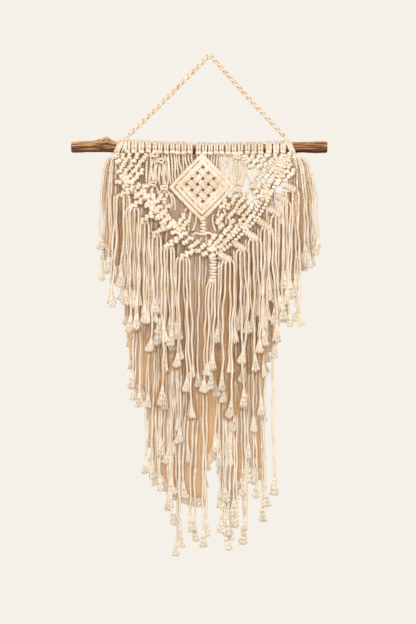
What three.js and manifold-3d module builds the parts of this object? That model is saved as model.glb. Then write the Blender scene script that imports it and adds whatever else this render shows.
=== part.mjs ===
// A knotted cotton wall hanging on a driftwood rod, hung from a twisted cord.
//
// Millimetres, +Z up, the front faces -Y. The origin is the hang point: the underside of the twisted
// cord where it bends over a nail. The rod lies along X below it, the knotted panel hangs from the rod
// on lark's head loops, a swag of two knotted ropes crosses the panel, and four layers of fringe hang
// from the rod's ends, from the drop knots outside the swag and from two strips behind the swag.

import * as THREE from 'three';
import { mergeVertices } from 'three/addons/utils/BufferGeometryUtils.js';
import Module from 'manifold-3d';

const wasm = await Module();
wasm.setup();

// ---------------------------------------------------------------- driving dimensions

const CORD = 4; // diameter of the cotton cord
const GAP = 0.3; // between solids that touch on the real thing

const ROD = { left: -206.5, right: 176.5, z: -135.5, endRadius: 8.7, waist: 1.7, sag: 2.4 };
const STUB = { x: -154, foot: 9.5, tip: 3, high: 8 }; // the broken branch on top of the rod
const HEADS = { count: 25, first: -123, pitch: 9.72, wide: 8.4 };
const HANGER = { wide: 6.4, thick: 4.4, leftX: -133, rightX: 119.5, bend: 6 };

const PANEL_Y = -9;
const SWAG = { wide: 12.4, thick: 7.2, y: -8.4 };
const DIAMOND = { x: -11, z: -195, edge: 34.5, rope: 6.2 };
const WEAVE = { u: -4, v: -2, side: 46, thick: 4.4, pitch: 11.6, holes: 4, hole: 3 };
const RIB = { wide: 12, high: 7.4, thick: 6.2, y: -8.4 };

// Depths of the fringe lanes. Two lanes side by side carry one layer, so that its strands pass freely.
const LANES = { front: [-14.6, -19], middle: [-2.9, 1.1], long: [5, 9], side: [-1.4, 3, 7.4] };
const STRAND = 1.95; // half of a fringe strand
const TUFT = { long: 15, wide: 2, thick: 0.8 }; // the unravelled end of a strand, against the strand

const COLOURS = { cotton: 0xf1e3cb, wood: 0x8a5c3a };

// ---------------------------------------------------------------- tables

// Rows of named columns: table('a b', [[1, 2], [3, 4]]) gives [{ a: 1, b: 2 }, { a: 3, b: 4 }].
const table = (columns, rows) =>
  rows.map((row) => Object.fromEntries(columns.split(' ').map((name, i) => [name, row[i]])));

// The two arms of the swag, from their upper ends to the lowest point, which they share.
const SWAG_LEFT = table('x z', [
  [-134, -184], [-114, -196], [-98, -210], [-86, -224], [-74, -238], [-59, -252], [-44, -265], [-28, -279], [-11, -289], [5, -294],
]);
const SWAG_RIGHT = table('x z', [
  [117, -151], [109, -163], [101, -177], [94, -192], [87, -207], [80, -221], [72, -234], [61, -248], [46, -263], [24, -283], [5, -294],
]);

// The panel's own knots, from their middles. A tilt is in degrees and rises to the right.
const KNOTS = table('name x z wide high tilt', [
  ['squareTopLeft', -83, -148, 15, 7, 0],
  ['squareHighLeft', -73, -157.5, 14, 7, 0],
  ['squareMidLeft', -85.5, -190.5, 14, 8, 0],
  ['squareLowLeft', -66, -196.5, 15, 8, 0],
  ['netLeftA', -119, -151, 12, 7, 25],
  ['netLeftB', -101, -152, 12, 8, 0],
  ['netLeftC', -112, -164, 20, 6.5, -38],
  ['netLeftE', -124, -175, 11, 8, 10],
  ['netLeftF', -96, -178, 11, 9, -30],
  ['netLeftG', -110, -186, 13, 8, -25],
  ['squareTopRight', 47, -150, 15, 7, 0],
  ['squareHighRight', 57, -159.5, 14, 7, 0],
  ['squareMidRight', 44, -199, 16, 8, 0],
  ['squareLowRight', 67, -195, 14, 8, 0],
  ['netRightA', 77, -152, 12, 8, 0],
  ['netRightB', 95, -152.5, 13, 8, -15],
  ['netRightC', 83, -167, 14, 7, 25],
  ['netRightE', 80, -184, 14, 7, 45],
  ['lowLeftA', -44, -241, 12, 9, 25],
  ['lowRightA', 22, -243, 13, 9, -20],
  ['sinnet', -10, -253, 11, 28, 0],
]);

// Pairs of cords that run from one knot down to the next. A number is the loop on the rod, counted from
// the left; 'swag' and 'diamond' end on the rope straight below, moved aside by lean. spread parts the two.
const RUNS = table('from to spread lean', [
  [0, 'netLeftA', 3, 0], [1, 'netLeftA', 3, 0], [2, 'netLeftB', 3, 0], [3, 'netLeftB', 3, 0],
  ['netLeftA', 'netLeftC', 3, 0], ['netLeftA', 'netLeftE', 4, 0], ['netLeftB', 'netLeftC', 3, 0],
  ['netLeftB', 'netLeftF', 4, 0], ['netLeftC', 'netLeftE', 3, 0], ['netLeftC', 'netLeftG', 4, 0],
  ['netLeftC', 'netLeftF', 3, 0], ['netLeftE', 'netLeftG', 3, 0], ['netLeftF', 'netLeftG', 3, 0],
  ['netLeftE', 'swag', 3, 0], ['netLeftG', 'swag', 4, 0], ['netLeftF', 'squareMidLeft', 3, 0],
  [4, 'squareTopLeft', 3, 0], [5, 'squareHighLeft', 3, 0], [6, 'squareHighLeft', 3, 0],
  ['squareTopLeft', 'squareHighLeft', 3, 0], ['squareTopLeft', 'squareMidLeft', 6, 0],
  ['squareHighLeft', 'squareMidLeft', 3, 0], ['squareHighLeft', 'squareLowLeft', 6, 0],
  ['squareMidLeft', 'swag', 6, 0], ['squareLowLeft', 'swag', 6, 4], ['squareLowLeft', 'lowLeftA', 3, 0],
  ['lowLeftA', 'swag', 3, -4], ['lowLeftA', 'swag', 3, 8],
  [17, 'squareTopRight', 3, 0], [18, 'squareTopRight', 3, 0], [19, 'squareHighRight', 3, 0],
  ['squareTopRight', 'squareHighRight', 3, 0], ['squareTopRight', 'squareMidRight', 6, 0],
  ['squareHighRight', 'squareMidRight', 3, 0], ['squareHighRight', 'squareLowRight', 6, 0],
  [20, 'netRightA', 3, 0], [21, 'netRightA', 3, 0], [22, 'netRightB', 3, 0], [23, 'netRightB', 3, 0],
  [24, 'swag', 3, 0], ['netRightA', 'netRightC', 3, 0], ['netRightB', 'netRightC', 3, 0],
  ['netRightB', 'swag', 3, 4], ['netRightC', 'netRightE', 6, 0], ['netRightC', 'swag', 3, 10],
  ['netRightE', 'squareLowRight', 3, 0], ['netRightE', 'swag', 3, 6], ['squareLowRight', 'swag', 6, 2],
  ['squareMidRight', 'swag', 6, 6], ['squareMidRight', 'lowRightA', 3, 0], ['lowRightA', 'swag', 3, 6],
  ['lowRightA', 'swag', 3, -8], ['sinnet', 'swag', 3, -6], ['sinnet', 'swag', 3, 5],
  [7, 'diamond', 4.6, 2], [8, 'diamond', 4.6, 2], [9, 'diamond', 4.6, 1], [10, 'diamond', 4.6, 0],
  [11, 'diamond', 4.6, 0], [12, 'diamond', 4.6, 0], [13, 'diamond', 4.6, 0], [14, 'diamond', 4.6, 0],
  [15, 'diamond', 4.6, -1], [16, 'diamond', 4.6, -2],
]);

// The ribs outside the swag: where they are, how they tilt, how many strands hang from each, and the hem.
const RIBS = {
  left: table('x z tilt strands hem', [
    [-124, -205, 22, 3, -372], [-110, -222, 24, 3, -376], [-97, -244, 24, 4, -396],
    [-80, -264, 28, 4, -404], [-58, -282, 22, 4, -426], [-37, -299, 18, 4, -500],
  ]),
  right: table('x z tilt strands hem', [
    [121, -198, -16, 3, -376], [110, -216, -20, 3, -388], [99, -236, -24, 3, -402],
    [83, -254, -26, 4, -406], [65, -271, -26, 4, -416], [47, -287, -22, 4, -432],
    [27, -302, -16, 3, -506],
  ]),
};
const CENTRE = { x: 5, z: -317.5, wide: 12, high: 29, strands: 4, hem: -530 };
const FRONT_SPAN = { left: [-131, -22], right: [128, 23] }; // where the front strands hang, out to in

// The two layers behind: half their width, the strands' pitch, and the hem at the edge and the middle.
// strip is the backing's front and back; its strands come out below it and turn into their lanes.
const LAYERS = {
  middle: { half: 106, pitch: 6.6, edge: -505, mid: -600, ragged: 24, strip: [-5.4, -1.9], leave: 9, turn: 22 },
  long: { half: 92, pitch: 7.6, edge: -634, mid: -722, ragged: 24, strip: [-1.6, 2.4], leave: 2, turn: 12 },
};
const SIDES = table('name x side out hem', [
  ['side_fringe_left', -140.5, -1, 20, -335],
  ['side_fringe_right', 126.5, 1, 30, -326],
]);
const SIDE_STRANDS = 6;
const SIDE_RING_WIDE = 5;

// ---------------------------------------------------------------- solids and paths

const clamp01 = (v) => Math.min(1, Math.max(0, v));
const ease = (v) => clamp01(v) ** 2 * (3 - 2 * clamp01(v));
const chance = (n) => Math.abs(Math.sin(n * 12.9898 + 4.1) * 437.5453) % 1;

function solid(geometry) {
  const bare = geometry.clone();
  bare.deleteAttribute('normal');
  bare.deleteAttribute('uv');
  const merged = mergeVertices(bare, 1e-3);
  return new wasm.Manifold(
    new wasm.Mesh({
      numProp: 3,
      vertProperties: merged.attributes.position.array,
      triVerts: new Uint32Array(merged.index.array),
    }),
  );
}

function geometryOf(manifold) {
  const { vertProperties, triVerts } = manifold.getMesh();
  return new THREE.BufferGeometry()
    .setAttribute('position', new THREE.BufferAttribute(vertProperties, 3))
    .setIndex(new THREE.BufferAttribute(triVerts, 1));
}

const join = (solids) => solids.reduce((whole, part) => whole.add(part));

const outline = (corners) => new THREE.Shape(corners.map(([x, y]) => new THREE.Vector2(x, y)));

// A round-ish section with the given number of sides and a unit radius.
function sectionOf(sides, turn = 0) {
  const corner = (i) => turn + (i / sides) * 2 * Math.PI;
  return outline(Array.from({ length: sides }, (_, i) => [Math.cos(corner(i)), Math.sin(corner(i))]));
}
const SIX = sectionOf(6);
const SQUARE = sectionOf(4);
const THREE_SIDED = sectionOf(3, -Math.PI / 2);
const FLAT = outline([[-1, -1], [1, -1], [1, 1], [-1, 1]]);
// Two and three ropes side by side, seen end on.
const TWIN = outline([[-1, 0.7], [-0.55, -1], [0, -0.3], [0.55, -1], [1, 0.7]]);
const TRIPLE = outline([[-1, 0.7], [-0.67, -1], [-0.33, -0.3], [0, -1], [0.33, -0.3], [0.67, -1], [1, 0.7]]);

// A section laid along stations: { at, wide, thick }, wide lying in the panel's plane, thick along Y.
function sweep(section, stations) {
  const steps = stations.length - 1;
  const frames = stations.map(({ at }, i) => {
    const before = stations[Math.max(i - 1, 0)].at;
    const after = stations[Math.min(i + 1, steps)].at;
    const along = after.clone().sub(before).normalize();
    const side = new THREE.Vector3(-along.z, 0, along.x).normalize();
    return { at, side, deep: side.clone().cross(along) };
  });
  const geometry = new THREE.ExtrudeGeometry(section, { depth: 1, steps, bevelEnabled: false });
  const position = geometry.attributes.position;
  const point = new THREE.Vector3();
  for (let i = 0; i < position.count; i += 1) {
    point.fromBufferAttribute(position, i);
    const k = Math.round(point.z * steps);
    const { at, side, deep } = frames[k];
    const placed = at
      .clone()
      .addScaledVector(side, point.x * stations[k].wide)
      .addScaledVector(deep, point.y * stations[k].thick);
    position.setXYZ(i, placed.x, placed.y, placed.z);
  }
  const made = solid(geometry);
  return made.volume() > 0 ? made : solid(turnedRound(geometry));
}

function turnedRound(geometry) {
  const position = geometry.attributes.position;
  for (let i = 0; i < position.count; i += 3) {
    const [a, b] = [1, 2].map((k) => new THREE.Vector3().fromBufferAttribute(position, i + k));
    position.setXYZ(i + 1, b.x, b.y, b.z);
    position.setXYZ(i + 2, a.x, a.y, a.z);
  }
  return geometry;
}

const vector = (x, y, z) => new THREE.Vector3(x, y, z);

// Straight cords between two points of the panel: one, or two side by side.
const cord = (from, to, radius = CORD / 2) =>
  sweep(THREE_SIDED, [from, to].map((at) => ({ at, wide: radius, thick: radius })));
const twinCord = (from, to, wide) => sweep(TWIN, [from, to].map((at) => ({ at, wide: wide / 2, thick: CORD / 2 })));

// A knotted bar: a rope whose hitches swell it at every pitch.
function bar(path, { wide, thick, pitch, section = SIX, swell = 0.14 }) {
  const long = path.reduce((sum, p, i) => (i ? sum + p.distanceTo(path[i - 1]) : 0), 0);
  const curve = path.length > 2 ? new THREE.CatmullRomCurve3(path) : new THREE.LineCurve3(...path);
  const steps = Math.max(2, 2 * Math.round(long / pitch));
  const stations = Array.from({ length: steps + 1 }, (_, i) => {
    const size = i % 2 ? 1 : 1 - swell;
    return { at: curve.getPointAt(i / steps), wide: (wide / 2) * size, thick: (thick / 2) * size };
  });
  return sweep(section, stations);
}

// ---------------------------------------------------------------- the rod and what goes round it

const rodMiddle = (x) => {
  const along = (x - ROD.left) / (ROD.right - ROD.left);
  return ROD.z - ROD.sag * Math.sin(Math.PI * along) ** 2 + 1.2 * Math.sin(7 * along);
};
const rodRadius = (x) => {
  const along = (x - ROD.left) / (ROD.right - ROD.left);
  return ROD.endRadius - ROD.waist * Math.sin(Math.PI * along) ** 0.8;
};

function rod() {
  const long = ROD.right - ROD.left;
  const geometry = new THREE.CylinderGeometry(1, 1, long, 9, 22);
  geometry.rotateZ(-Math.PI / 2);
  geometry.translate((ROD.left + ROD.right) / 2, 0, 0);
  const position = geometry.attributes.position;
  for (let i = 0; i < position.count; i += 1) {
    const [x, y, z] = [position.getX(i), position.getY(i), position.getZ(i)];
    const angle = Math.atan2(z, y);
    const covered = x > HANGER.leftX - 10 && x < HANGER.rightX + 12;
    const grain = covered ? 0.1 : 0.35;
    const end = Math.min(x - ROD.left, ROD.right - x) < 1 ? 0.86 : 1;
    const bark = grain * Math.sin(3 * angle + x / 17) + grain * Math.sin(5 * angle - x / 29);
    const radius = Math.hypot(y, z) * end * (rodRadius(x) + bark);
    position.setXYZ(i, x, radius * Math.cos(angle), rodMiddle(x) + radius * Math.sin(angle));
  }
  const stub = new THREE.CylinderGeometry(STUB.tip, STUB.foot, STUB.high, 6);
  stub.scale(1, 1, 0.55);
  stub.translate(STUB.x, 0, rodMiddle(STUB.x) + rodRadius(STUB.x) - 1.6 + STUB.high / 2);
  return solid(geometry).add(solid(stub));
}

// A loop of cord round the rod, as wide as given: its profile has a groove between its two turns.
function loop(x, wide, thick = 3.6) {
  const inner = (rodRadius(x) + 0.75) / Math.cos(Math.PI / 6);
  const half = wide / 2;
  const profile = [[0, -half], [thick, -half * 0.62], [0.65 * thick, 0], [thick, half * 0.62], [0, half], [0, -half]];
  const points = profile.map(([out, along]) => new THREE.Vector2(inner + out, along));
  const geometry = new THREE.LatheGeometry(points, 6, Math.PI / 6);
  geometry.rotateZ(-Math.PI / 2);
  geometry.translate(x, 0, rodMiddle(x));
  const made = solid(geometry);
  return made.volume() > 0 ? made : solid(turnedRound(geometry.toNonIndexed()));
}

// ---------------------------------------------------------------- the hanger

function hanger() {
  const { wide, thick, leftX, rightX, bend } = HANGER;
  const foot = (x) => vector(x, 0, rodMiddle(x) + rodRadius(x) + 2.4);
  const shoulder = (side) => vector(side * bend, 0, wide / 2 - 0.75 * bend);
  const pitch = 19; // one bulge of the twist
  const stations = [];
  const leg = (from, to) => {
    const count = 2 * Math.round(from.distanceTo(to) / pitch);
    for (let i = 0; i <= count; i += 1) {
      const size = i % 2 ? 1 : 0.84;
      stations.push({ at: from.clone().lerp(to, i / count), wide: (wide / 2) * size, thick: thick / 2 });
    }
  };
  leg(foot(leftX), shoulder(-1));
  stations.push({ at: vector(0, 0, wide / 2), wide: wide / 2, thick: thick / 2 });
  leg(shoulder(1), foot(rightX));
  return join([sweep(FLAT, stations), loop(leftX, wide), loop(rightX, wide)]);
}

// ---------------------------------------------------------------- the swag

const swagPath = (rows) => rows.map(({ x, z }) => vector(x, SWAG.y, z));

// The swag's height at a place across the panel.
function swagHeight(x) {
  const rows = [...SWAG_LEFT, ...SWAG_RIGHT.slice(0, -1).reverse()];
  const next = rows.findIndex((row) => row.x > x);
  if (next === 0) return rows[0].z;
  if (next < 0) return rows[rows.length - 1].z;
  const [a, b] = [rows[next - 1], rows[next]];
  return a.z + ((b.z - a.z) * (x - a.x)) / (b.x - a.x);
}

const swagRopes = () => [
  bar(swagPath(SWAG_LEFT), { ...SWAG, pitch: 17, section: TWIN, swell: 0.2 }),
  bar(swagPath(SWAG_RIGHT), { ...SWAG, pitch: 15, section: TWIN, swell: 0.1 }),
];

// ---------------------------------------------------------------- the diamond

// The diamond's own axes run down to the left (u) and down to the right (v), from its middle.
const diamondPoint = (u, v, y = PANEL_Y) =>
  vector(DIAMOND.x + (v - u) * Math.SQRT1_2, y, DIAMOND.z - (u + v) * Math.SQRT1_2);

function diamond() {
  const { edge, rope } = DIAMOND;
  const side = (place, from, to, section, ropes) =>
    bar([place(from), place(to)], { wide: ropes * rope, thick: 7, pitch: 2 * edge, section, swell: 0.06 });
  const double = edge - rope;
  const triple = edge - 1.5 * rope;
  return [
    side((k) => diamondPoint(-double, k), -edge, edge, TWIN, 2),
    side((k) => diamondPoint(triple, k), -edge, edge, TRIPLE, 3),
    side((k) => diamondPoint(k, -double), -double, triple, TWIN, 2),
    side((k) => diamondPoint(k, triple), -double, triple, TRIPLE, 3),
    weave(),
  ];
}

// The woven middle, with a small square hole wherever four bands meet.
function weave() {
  const { u, v, side, thick, pitch, holes, hole } = WEAVE;
  const block = (wide, deep, at) => {
    const geometry = new THREE.BoxGeometry(wide, deep, wide);
    geometry.rotateY(Math.PI / 4);
    geometry.translate(at.x, at.y, at.z);
    return solid(geometry);
  };
  let slab = block(side, thick, diamondPoint(u, v));
  for (let i = 0; i < holes * holes; i += 1) {
    const [row, column] = [Math.floor(i / holes), i % holes].map((k) => (k - (holes - 1) / 2) * pitch);
    slab = slab.subtract(block(hole, 2 * thick, diamondPoint(u + row, v + column)));
  }
  return slab;
}

// ---------------------------------------------------------------- the knotted panel

function knot({ x, z, wide, high, tilt }) {
  const turn = THREE.MathUtils.degToRad(tilt);
  const tall = high > wide;
  const half = (tall ? high : wide) / 2;
  const [dx, dz] = tall ? [0, half] : [half * Math.cos(turn), half * Math.sin(turn)];
  const ends = [vector(x - dx, PANEL_Y, z - dz), vector(x + dx, PANEL_Y, z + dz)];
  return bar(ends, { wide: tall ? wide : high, thick: 7, pitch: tall ? 7 : 2 * half, swell: 0.3 });
}

function panel() {
  const byName = Object.fromEntries(KNOTS.map((row) => [row.name, row]));
  const headX = (i) => HEADS.first + i * HEADS.pitch;
  const heads = Array.from({ length: HEADS.count }, (_, i) => loop(headX(i), HEADS.wide));

  // Where a loop's two cords leave it, in front of and below the rod.
  const exit = (i) => vector(headX(i), -8.4, rodMiddle(headX(i)) - rodRadius(headX(i)) + 1);

  const place = (end, below) => (typeof end === 'number' ? exit(end) : vector(byName[end].x, PANEL_Y, byName[end].z - below));
  const bottomOf = (to, x) => {
    if (to === 'swag') return vector(x, SWAG.y, swagHeight(x));
    if (to === 'diamond') {
      return vector(x, PANEL_Y, DIAMOND.z + (DIAMOND.edge - 3) * Math.SQRT2 - Math.abs(x - DIAMOND.x));
    }
    return place(to, 0);
  };
  const runs = RUNS.flatMap(({ from, to, spread, lean }) => {
    const top = place(from, 0);
    const bottom = bottomOf(to, top.x + lean);
    if (to === 'diamond') return [twinCord(top, bottom, spread + CORD)];
    if (spread < 5) return [sweep(THREE_SIDED, [top, bottom].map((at) => ({ at, wide: 0.45 * (spread + CORD), thick: CORD / 2 })))];
    return [-spread / 2, spread / 2].map((aside) => cord(vector(top.x + aside, top.y, top.z), vector(bottom.x + 1.2 * aside, bottom.y, bottom.z)));
  });

  // Short cords from the swag's outer edge to each rib, which stop just short of it.
  const links = Object.entries(RIBS).flatMap(([side, rows]) =>
    rows.map(({ x, z, tilt }) => {
      const rib = vector(x, RIB.y, z);
      const steep = Math.abs(x) > 90;
      const topX = x + (side === 'left' ? 1 : -1) * (steep ? 13 : 8);
      const top = vector(topX, SWAG.y, swagHeight(topX));
      const away = top.clone().sub(rib).normalize();
      const turn = THREE.MathUtils.degToRad(tilt);
      const along = Math.abs(away.x * Math.cos(turn) + away.z * Math.sin(turn));
      const across = Math.abs(away.z * Math.cos(turn) - away.x * Math.sin(turn));
      const reach = (along * RIB.wide + across * RIB.high) / 2 + GAP;
      return twinCord(top, rib.addScaledVector(away, reach), 6);
    }),
  );
  const tailTop = vector(CENTRE.x, SWAG.y, swagHeight(CENTRE.x));
  const tail = twinCord(tailTop, vector(CENTRE.x, RIB.y, CENTRE.z + CENTRE.high / 2 + GAP), 7);
  return join([...heads, ...KNOTS.map(knot), ...runs, ...links, tail, ...swagRopes(), ...diamond()]);
}

// ---------------------------------------------------------------- fringe

// How far a strand swings aside at a height: its neighbours' sway, and a little of its own.
const sway = (x, z, n) =>
  3.2 * Math.sin(z / 47 + x / 31) + 1.8 * Math.sin(z / 23 + x / 19 + 1.3) + 0.8 * Math.sin(z / 17 + 2.4 * n);

// The stations of a strand: its root, the given heights, and its tuft. hang gives the place at a height.
function strand(root, heights, hem, hang) {
  const stations = [{ at: root, size: 1 }, ...heights.map((z) => ({ at: hang(z), size: 1 })), { at: hang(hem + TUFT.long), size: 0.95 }];
  const body = stations.map(({ at, size }) => ({ at, wide: STRAND * size, thick: STRAND * size }));
  return sweep(THREE_SIDED, [...body, { at: hang(hem), wide: STRAND * TUFT.wide, thick: STRAND * TUFT.thick }]);
}

// A strand that turns into its lane below its root and then hangs. n tells strands apart.
function hangingStrand({ root, x, lane, hem, n, leave = 5, turn = 20 }) {
  const low = root.z - leave;
  const hang = (z) => {
    const aside = ease((low - z) / turn);
    const free = ease((low - z) / 60);
    return vector(root.x + (x - root.x) * aside + free * sway(x, z, n), root.y + (lane - root.y) * aside, z);
  };
  const first = low - turn;
  const last = hem + TUFT.long;
  const count = Math.max(1, Math.round((first - last) / 105));
  const heights = [low, ...Array.from({ length: count }, (_, i) => first + ((last - first) * i) / count)];
  return strand(root, heights, hem, hang);
}

// The strands of one side of the front, shared out among its ribs.
function ribs(side) {
  const rows = RIBS[side];
  const [from, to] = FRONT_SPAN[side];
  const total = rows.reduce((sum, row) => sum + row.strands, 0);
  let n = 0;
  return rows.map(({ x, z, tilt, strands, hem }) => {
    const turn = THREE.MathUtils.degToRad(tilt);
    const half = vector((Math.cos(turn) * RIB.wide) / 2, 0, (Math.sin(turn) * RIB.wide) / 2);
    const middle = vector(x, RIB.y, z);
    const parts = [bar([middle.clone().sub(half), middle.clone().add(half)], { wide: RIB.high, thick: RIB.thick, pitch: 6, swell: 0.2 })];
    for (let k = 0; k < strands; k += 1) {
      const along = strands > 1 ? k / (strands - 1) - 0.5 : 0;
      const inward = side === 'left' ? 1 : -1;
      const root = middle.clone().addScaledVector(half, 1.5 * along * inward);
      const seed = n + (side === 'left' ? 0 : 100);
      parts.push(
        hangingStrand({
          root,
          x: from + ((to - from) * n) / (total - 1),
          lane: LANES.front[n % 2],
          hem: hem - 30 * chance(seed) + 10,
          n: seed,
        }),
      );
      n += 1;
    }
    return join(parts);
  });
}

function centreDrop() {
  const { x, z, wide, high, strands, hem } = CENTRE;
  const ends = [vector(x, RIB.y, z + high / 2), vector(x, RIB.y, z - high / 2)];
  const parts = [bar(ends, { wide, thick: RIB.thick + 1, pitch: 10, swell: 0.12 })];
  for (let i = 0; i < strands; i += 1) {
    const beside = i - (strands - 1) / 2;
    const root = vector(x + 2.4 * beside, RIB.y, z - high / 2 + 3);
    parts.push(hangingStrand({ root, x: x + 4.6 * beside - 3, lane: LANES.front[i % 2], hem: hem + 50 * chance(900 + i), n: 900 + i }));
  }
  return join(parts);
}

// A layer behind the swag: a strip that follows the swag's back, and the strands that hang from it.
function layer({ half, pitch, edge, mid, ragged, strip, leave, turn }, lanes, seed) {
  const y = (strip[0] + strip[1]) / 2;
  const reach = half + 3;
  const count = 2 * Math.floor(half / pitch) + 1;
  const path = Array.from({ length: 15 }, (_, i) => reach * (i / 7 - 1)).map((x) => vector(x, y, swagHeight(x) + 1));
  const parts = [sweep(FLAT, path.map((at) => ({ at, wide: 3.2, thick: (strip[1] - strip[0]) / 2 })))];
  for (let i = 0; i < count; i += 1) {
    const x = (i - (count - 1) / 2) * pitch;
    const slope = ease(1.25 * (1 - Math.abs(x) / half));
    const hem = edge + (mid - edge) * slope - ragged * (chance(seed + i) - 0.5) * 2;
    const root = vector(x, strip[1] - 1.3, swagHeight(x) + 1);
    parts.push(hangingStrand({ root, x, lane: lanes[i % 2], hem, n: seed + i, leave, turn }));
  }
  return join(parts);
}

// The bundle at one end of the rod: a ring round it, a knot below it, and strands that swing outward.
function sideFringe({ x, side, out, hem }, seed) {
  const knotAt = vector(x, -2, rodMiddle(x) - rodRadius(x) - 9);
  const lift = vector(0, 0, 6);
  const knotEnds = [knotAt.clone().add(lift), knotAt.clone().sub(lift)];
  const parts = [loop(x, SIDE_RING_WIDE), bar(knotEnds, { wide: 8, thick: 8, pitch: 6, swell: 0.2 })];
  const arch = 46;
  for (let i = 0; i < SIDE_STRANDS; i += 1) {
    const n = seed + i;
    const lane = LANES.side[i % 3];
    const outward = side * (-2 + ((out + 2) * i) / (SIDE_STRANDS - 1));
    const root = knotAt.clone().add(vector(side * 0.4 * (i - SIDE_STRANDS / 2), 0, 0));
    const hang = (z) => {
      const fall = clamp01((root.z - z) / arch);
      const swing = outward * Math.sqrt(fall * (2 - fall)) + 0.4 * ease((root.z - arch - z) / 60) * sway(x + outward, z, n);
      return vector(root.x + swing, root.y + (lane - root.y) * ease(fall * 1.4), z);
    };
    const end = hem + 40 * (chance(n) - 0.5);
    const low = root.z - arch;
    const heights = [root.z - 0.2 * arch, root.z - 0.6 * arch, low, (low + end + TUFT.long) / 2];
    parts.push(strand(root, heights, end, hang));
  }
  return join(parts);
}

// ---------------------------------------------------------------- the whole

const cotton = new THREE.MeshStandardMaterial({ color: COLOURS.cotton, roughness: 0.92, metalness: 0 });
const wood = new THREE.MeshStandardMaterial({ color: COLOURS.wood, roughness: 0.75, metalness: 0 });

const hanging = new THREE.Group();
function add(name, manifold, material = cotton) {
  const mesh = new THREE.Mesh(geometryOf(manifold), material);
  mesh.name = name;
  hanging.add(mesh);
}

add('driftwood_rod', rod(), wood);
add('hanger', hanger());
add('knotted_panel', panel());
for (const side of ['left', 'right']) ribs(side).forEach((rib, i) => add(`front_fringe_${side}_${i + 1}`, rib));
add('front_fringe_centre', centreDrop());
add('middle_fringe', layer(LAYERS.middle, LANES.middle, 400));
add('long_fringe', layer(LAYERS.long, LANES.long, 500));
SIDES.forEach((row, i) => add(row.name, sideFringe(row, 600 + 50 * i)));

export default hanging;
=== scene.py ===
import math

import bmesh
import bpy
import numpy as np
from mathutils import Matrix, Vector


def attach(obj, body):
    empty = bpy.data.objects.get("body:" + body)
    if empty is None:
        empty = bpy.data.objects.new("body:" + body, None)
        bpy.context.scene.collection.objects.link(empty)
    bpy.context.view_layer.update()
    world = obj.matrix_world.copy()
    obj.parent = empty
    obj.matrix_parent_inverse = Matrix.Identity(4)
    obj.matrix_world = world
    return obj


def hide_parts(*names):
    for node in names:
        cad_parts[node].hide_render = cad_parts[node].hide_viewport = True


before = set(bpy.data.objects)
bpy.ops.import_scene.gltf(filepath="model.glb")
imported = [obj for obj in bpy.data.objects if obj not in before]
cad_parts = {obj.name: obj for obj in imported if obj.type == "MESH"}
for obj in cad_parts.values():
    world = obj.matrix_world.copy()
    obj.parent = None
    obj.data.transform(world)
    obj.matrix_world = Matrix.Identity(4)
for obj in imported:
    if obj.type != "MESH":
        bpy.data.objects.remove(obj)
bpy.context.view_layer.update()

bl_info = {
    "name": "Macrame wall hanging",
    "version": (1, 0, 0),
    "blender": (4, 5, 0),
    "location": "3D View > Sidebar > Macrame",
    "description": "Builds a knotted cotton wall hanging on a driftwood rod, piece by piece",
    "category": "Add Mesh",
}

# Sizes below are in millimetres in the hanging's frame, and become metres when a mesh is made.
# The origin is the hang point, the front faces -Y, and Z is up.
MM = 0.001

FRONT = [f"front_fringe_left_{i}" for i in range(1, 7)]
FRONT += [f"front_fringe_right_{i}" for i in range(1, 8)] + ["front_fringe_centre"]

# ------------------------------------------------------------------ the hanging's own measures

# The rod: where it starts and ends, its height, its radius at the ends, and by how much its middle is
# thinner and hangs lower.
ROD = dict(left=-206.5, right=176.5, z=-135.5, end=8.7, waist=1.7, sag=2.4)
# How fine its mesh is: sides round it, and cuts along it.
ROD_MESH = dict(sides=72, cuts=260)
# Beyond these its bark is rough. Between them, under the cords, it is worn to this share of that.
BARE = dict(left=-140, right=124, worn=0.4)
# Dents where twigs broke off: how far along, half length, angle round the rod, half width, depth.
DENTS = ((-168, 7, -1.9, 0.5, 1.3), (167, 5, -1.9, 0.45, 1.4), (-158, 10, -2.4, 0.5, 1.1))
# The stub of a branch on top, steeper on its right, and a low lump near the right end.
STUB = dict(x=-153.5, high=8.6, left=12.0, right=7.0)
LUMP = dict(x=158, high=1.2, half=9, angle=2.2)
# How far in front of the rod's middle the knots lie.
PANEL_Y = -9.0
# The diamond: its middle, half its side, how thick its ropes are, and its height over its width.
DIAMOND = dict(x=-11.3, z=-196.2, edge=36.2, rope=6.3, tall=1.04)

# The hanger: where its feet are, how far its two cords swing from its middle, a turn's length, and
# the radius of the cords in the twist and in the loops round the rod.
HANGER = dict(feet=((-1, -129.0), (1, 119.5)), swing=1.55, pitch=21.0, cord=1.75, loop=1.7)

# Where each lark's head sits on the rod.
HEADS = (-123, -112.5, -102, -91.5, -81.7, -73.5, -64.5, -55.5, -47.2, -38.2, -29.2, -16.5, -7.5,
         1.5, 9.7, 18, 27.7, 36.7, 46.5, 57, 66.7, 76.5, 88.5, 99.7, 110.2)

# The two arms of the swag, (x, z), from their upper ends to the lowest point.
SWAG_LEFT = ((-134, -184), (-114, -196), (-98, -210), (-86, -224), (-74, -238), (-59, -252),
             (-44, -265), (-28, -279), (-11, -289), (5, -294))
SWAG_RIGHT = ((117, -151), (109, -163), (101, -177), (94, -192), (87, -207), (80, -221),
              (72, -234), (61, -248), (46, -263), (24, -283), (5, -294))

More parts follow.
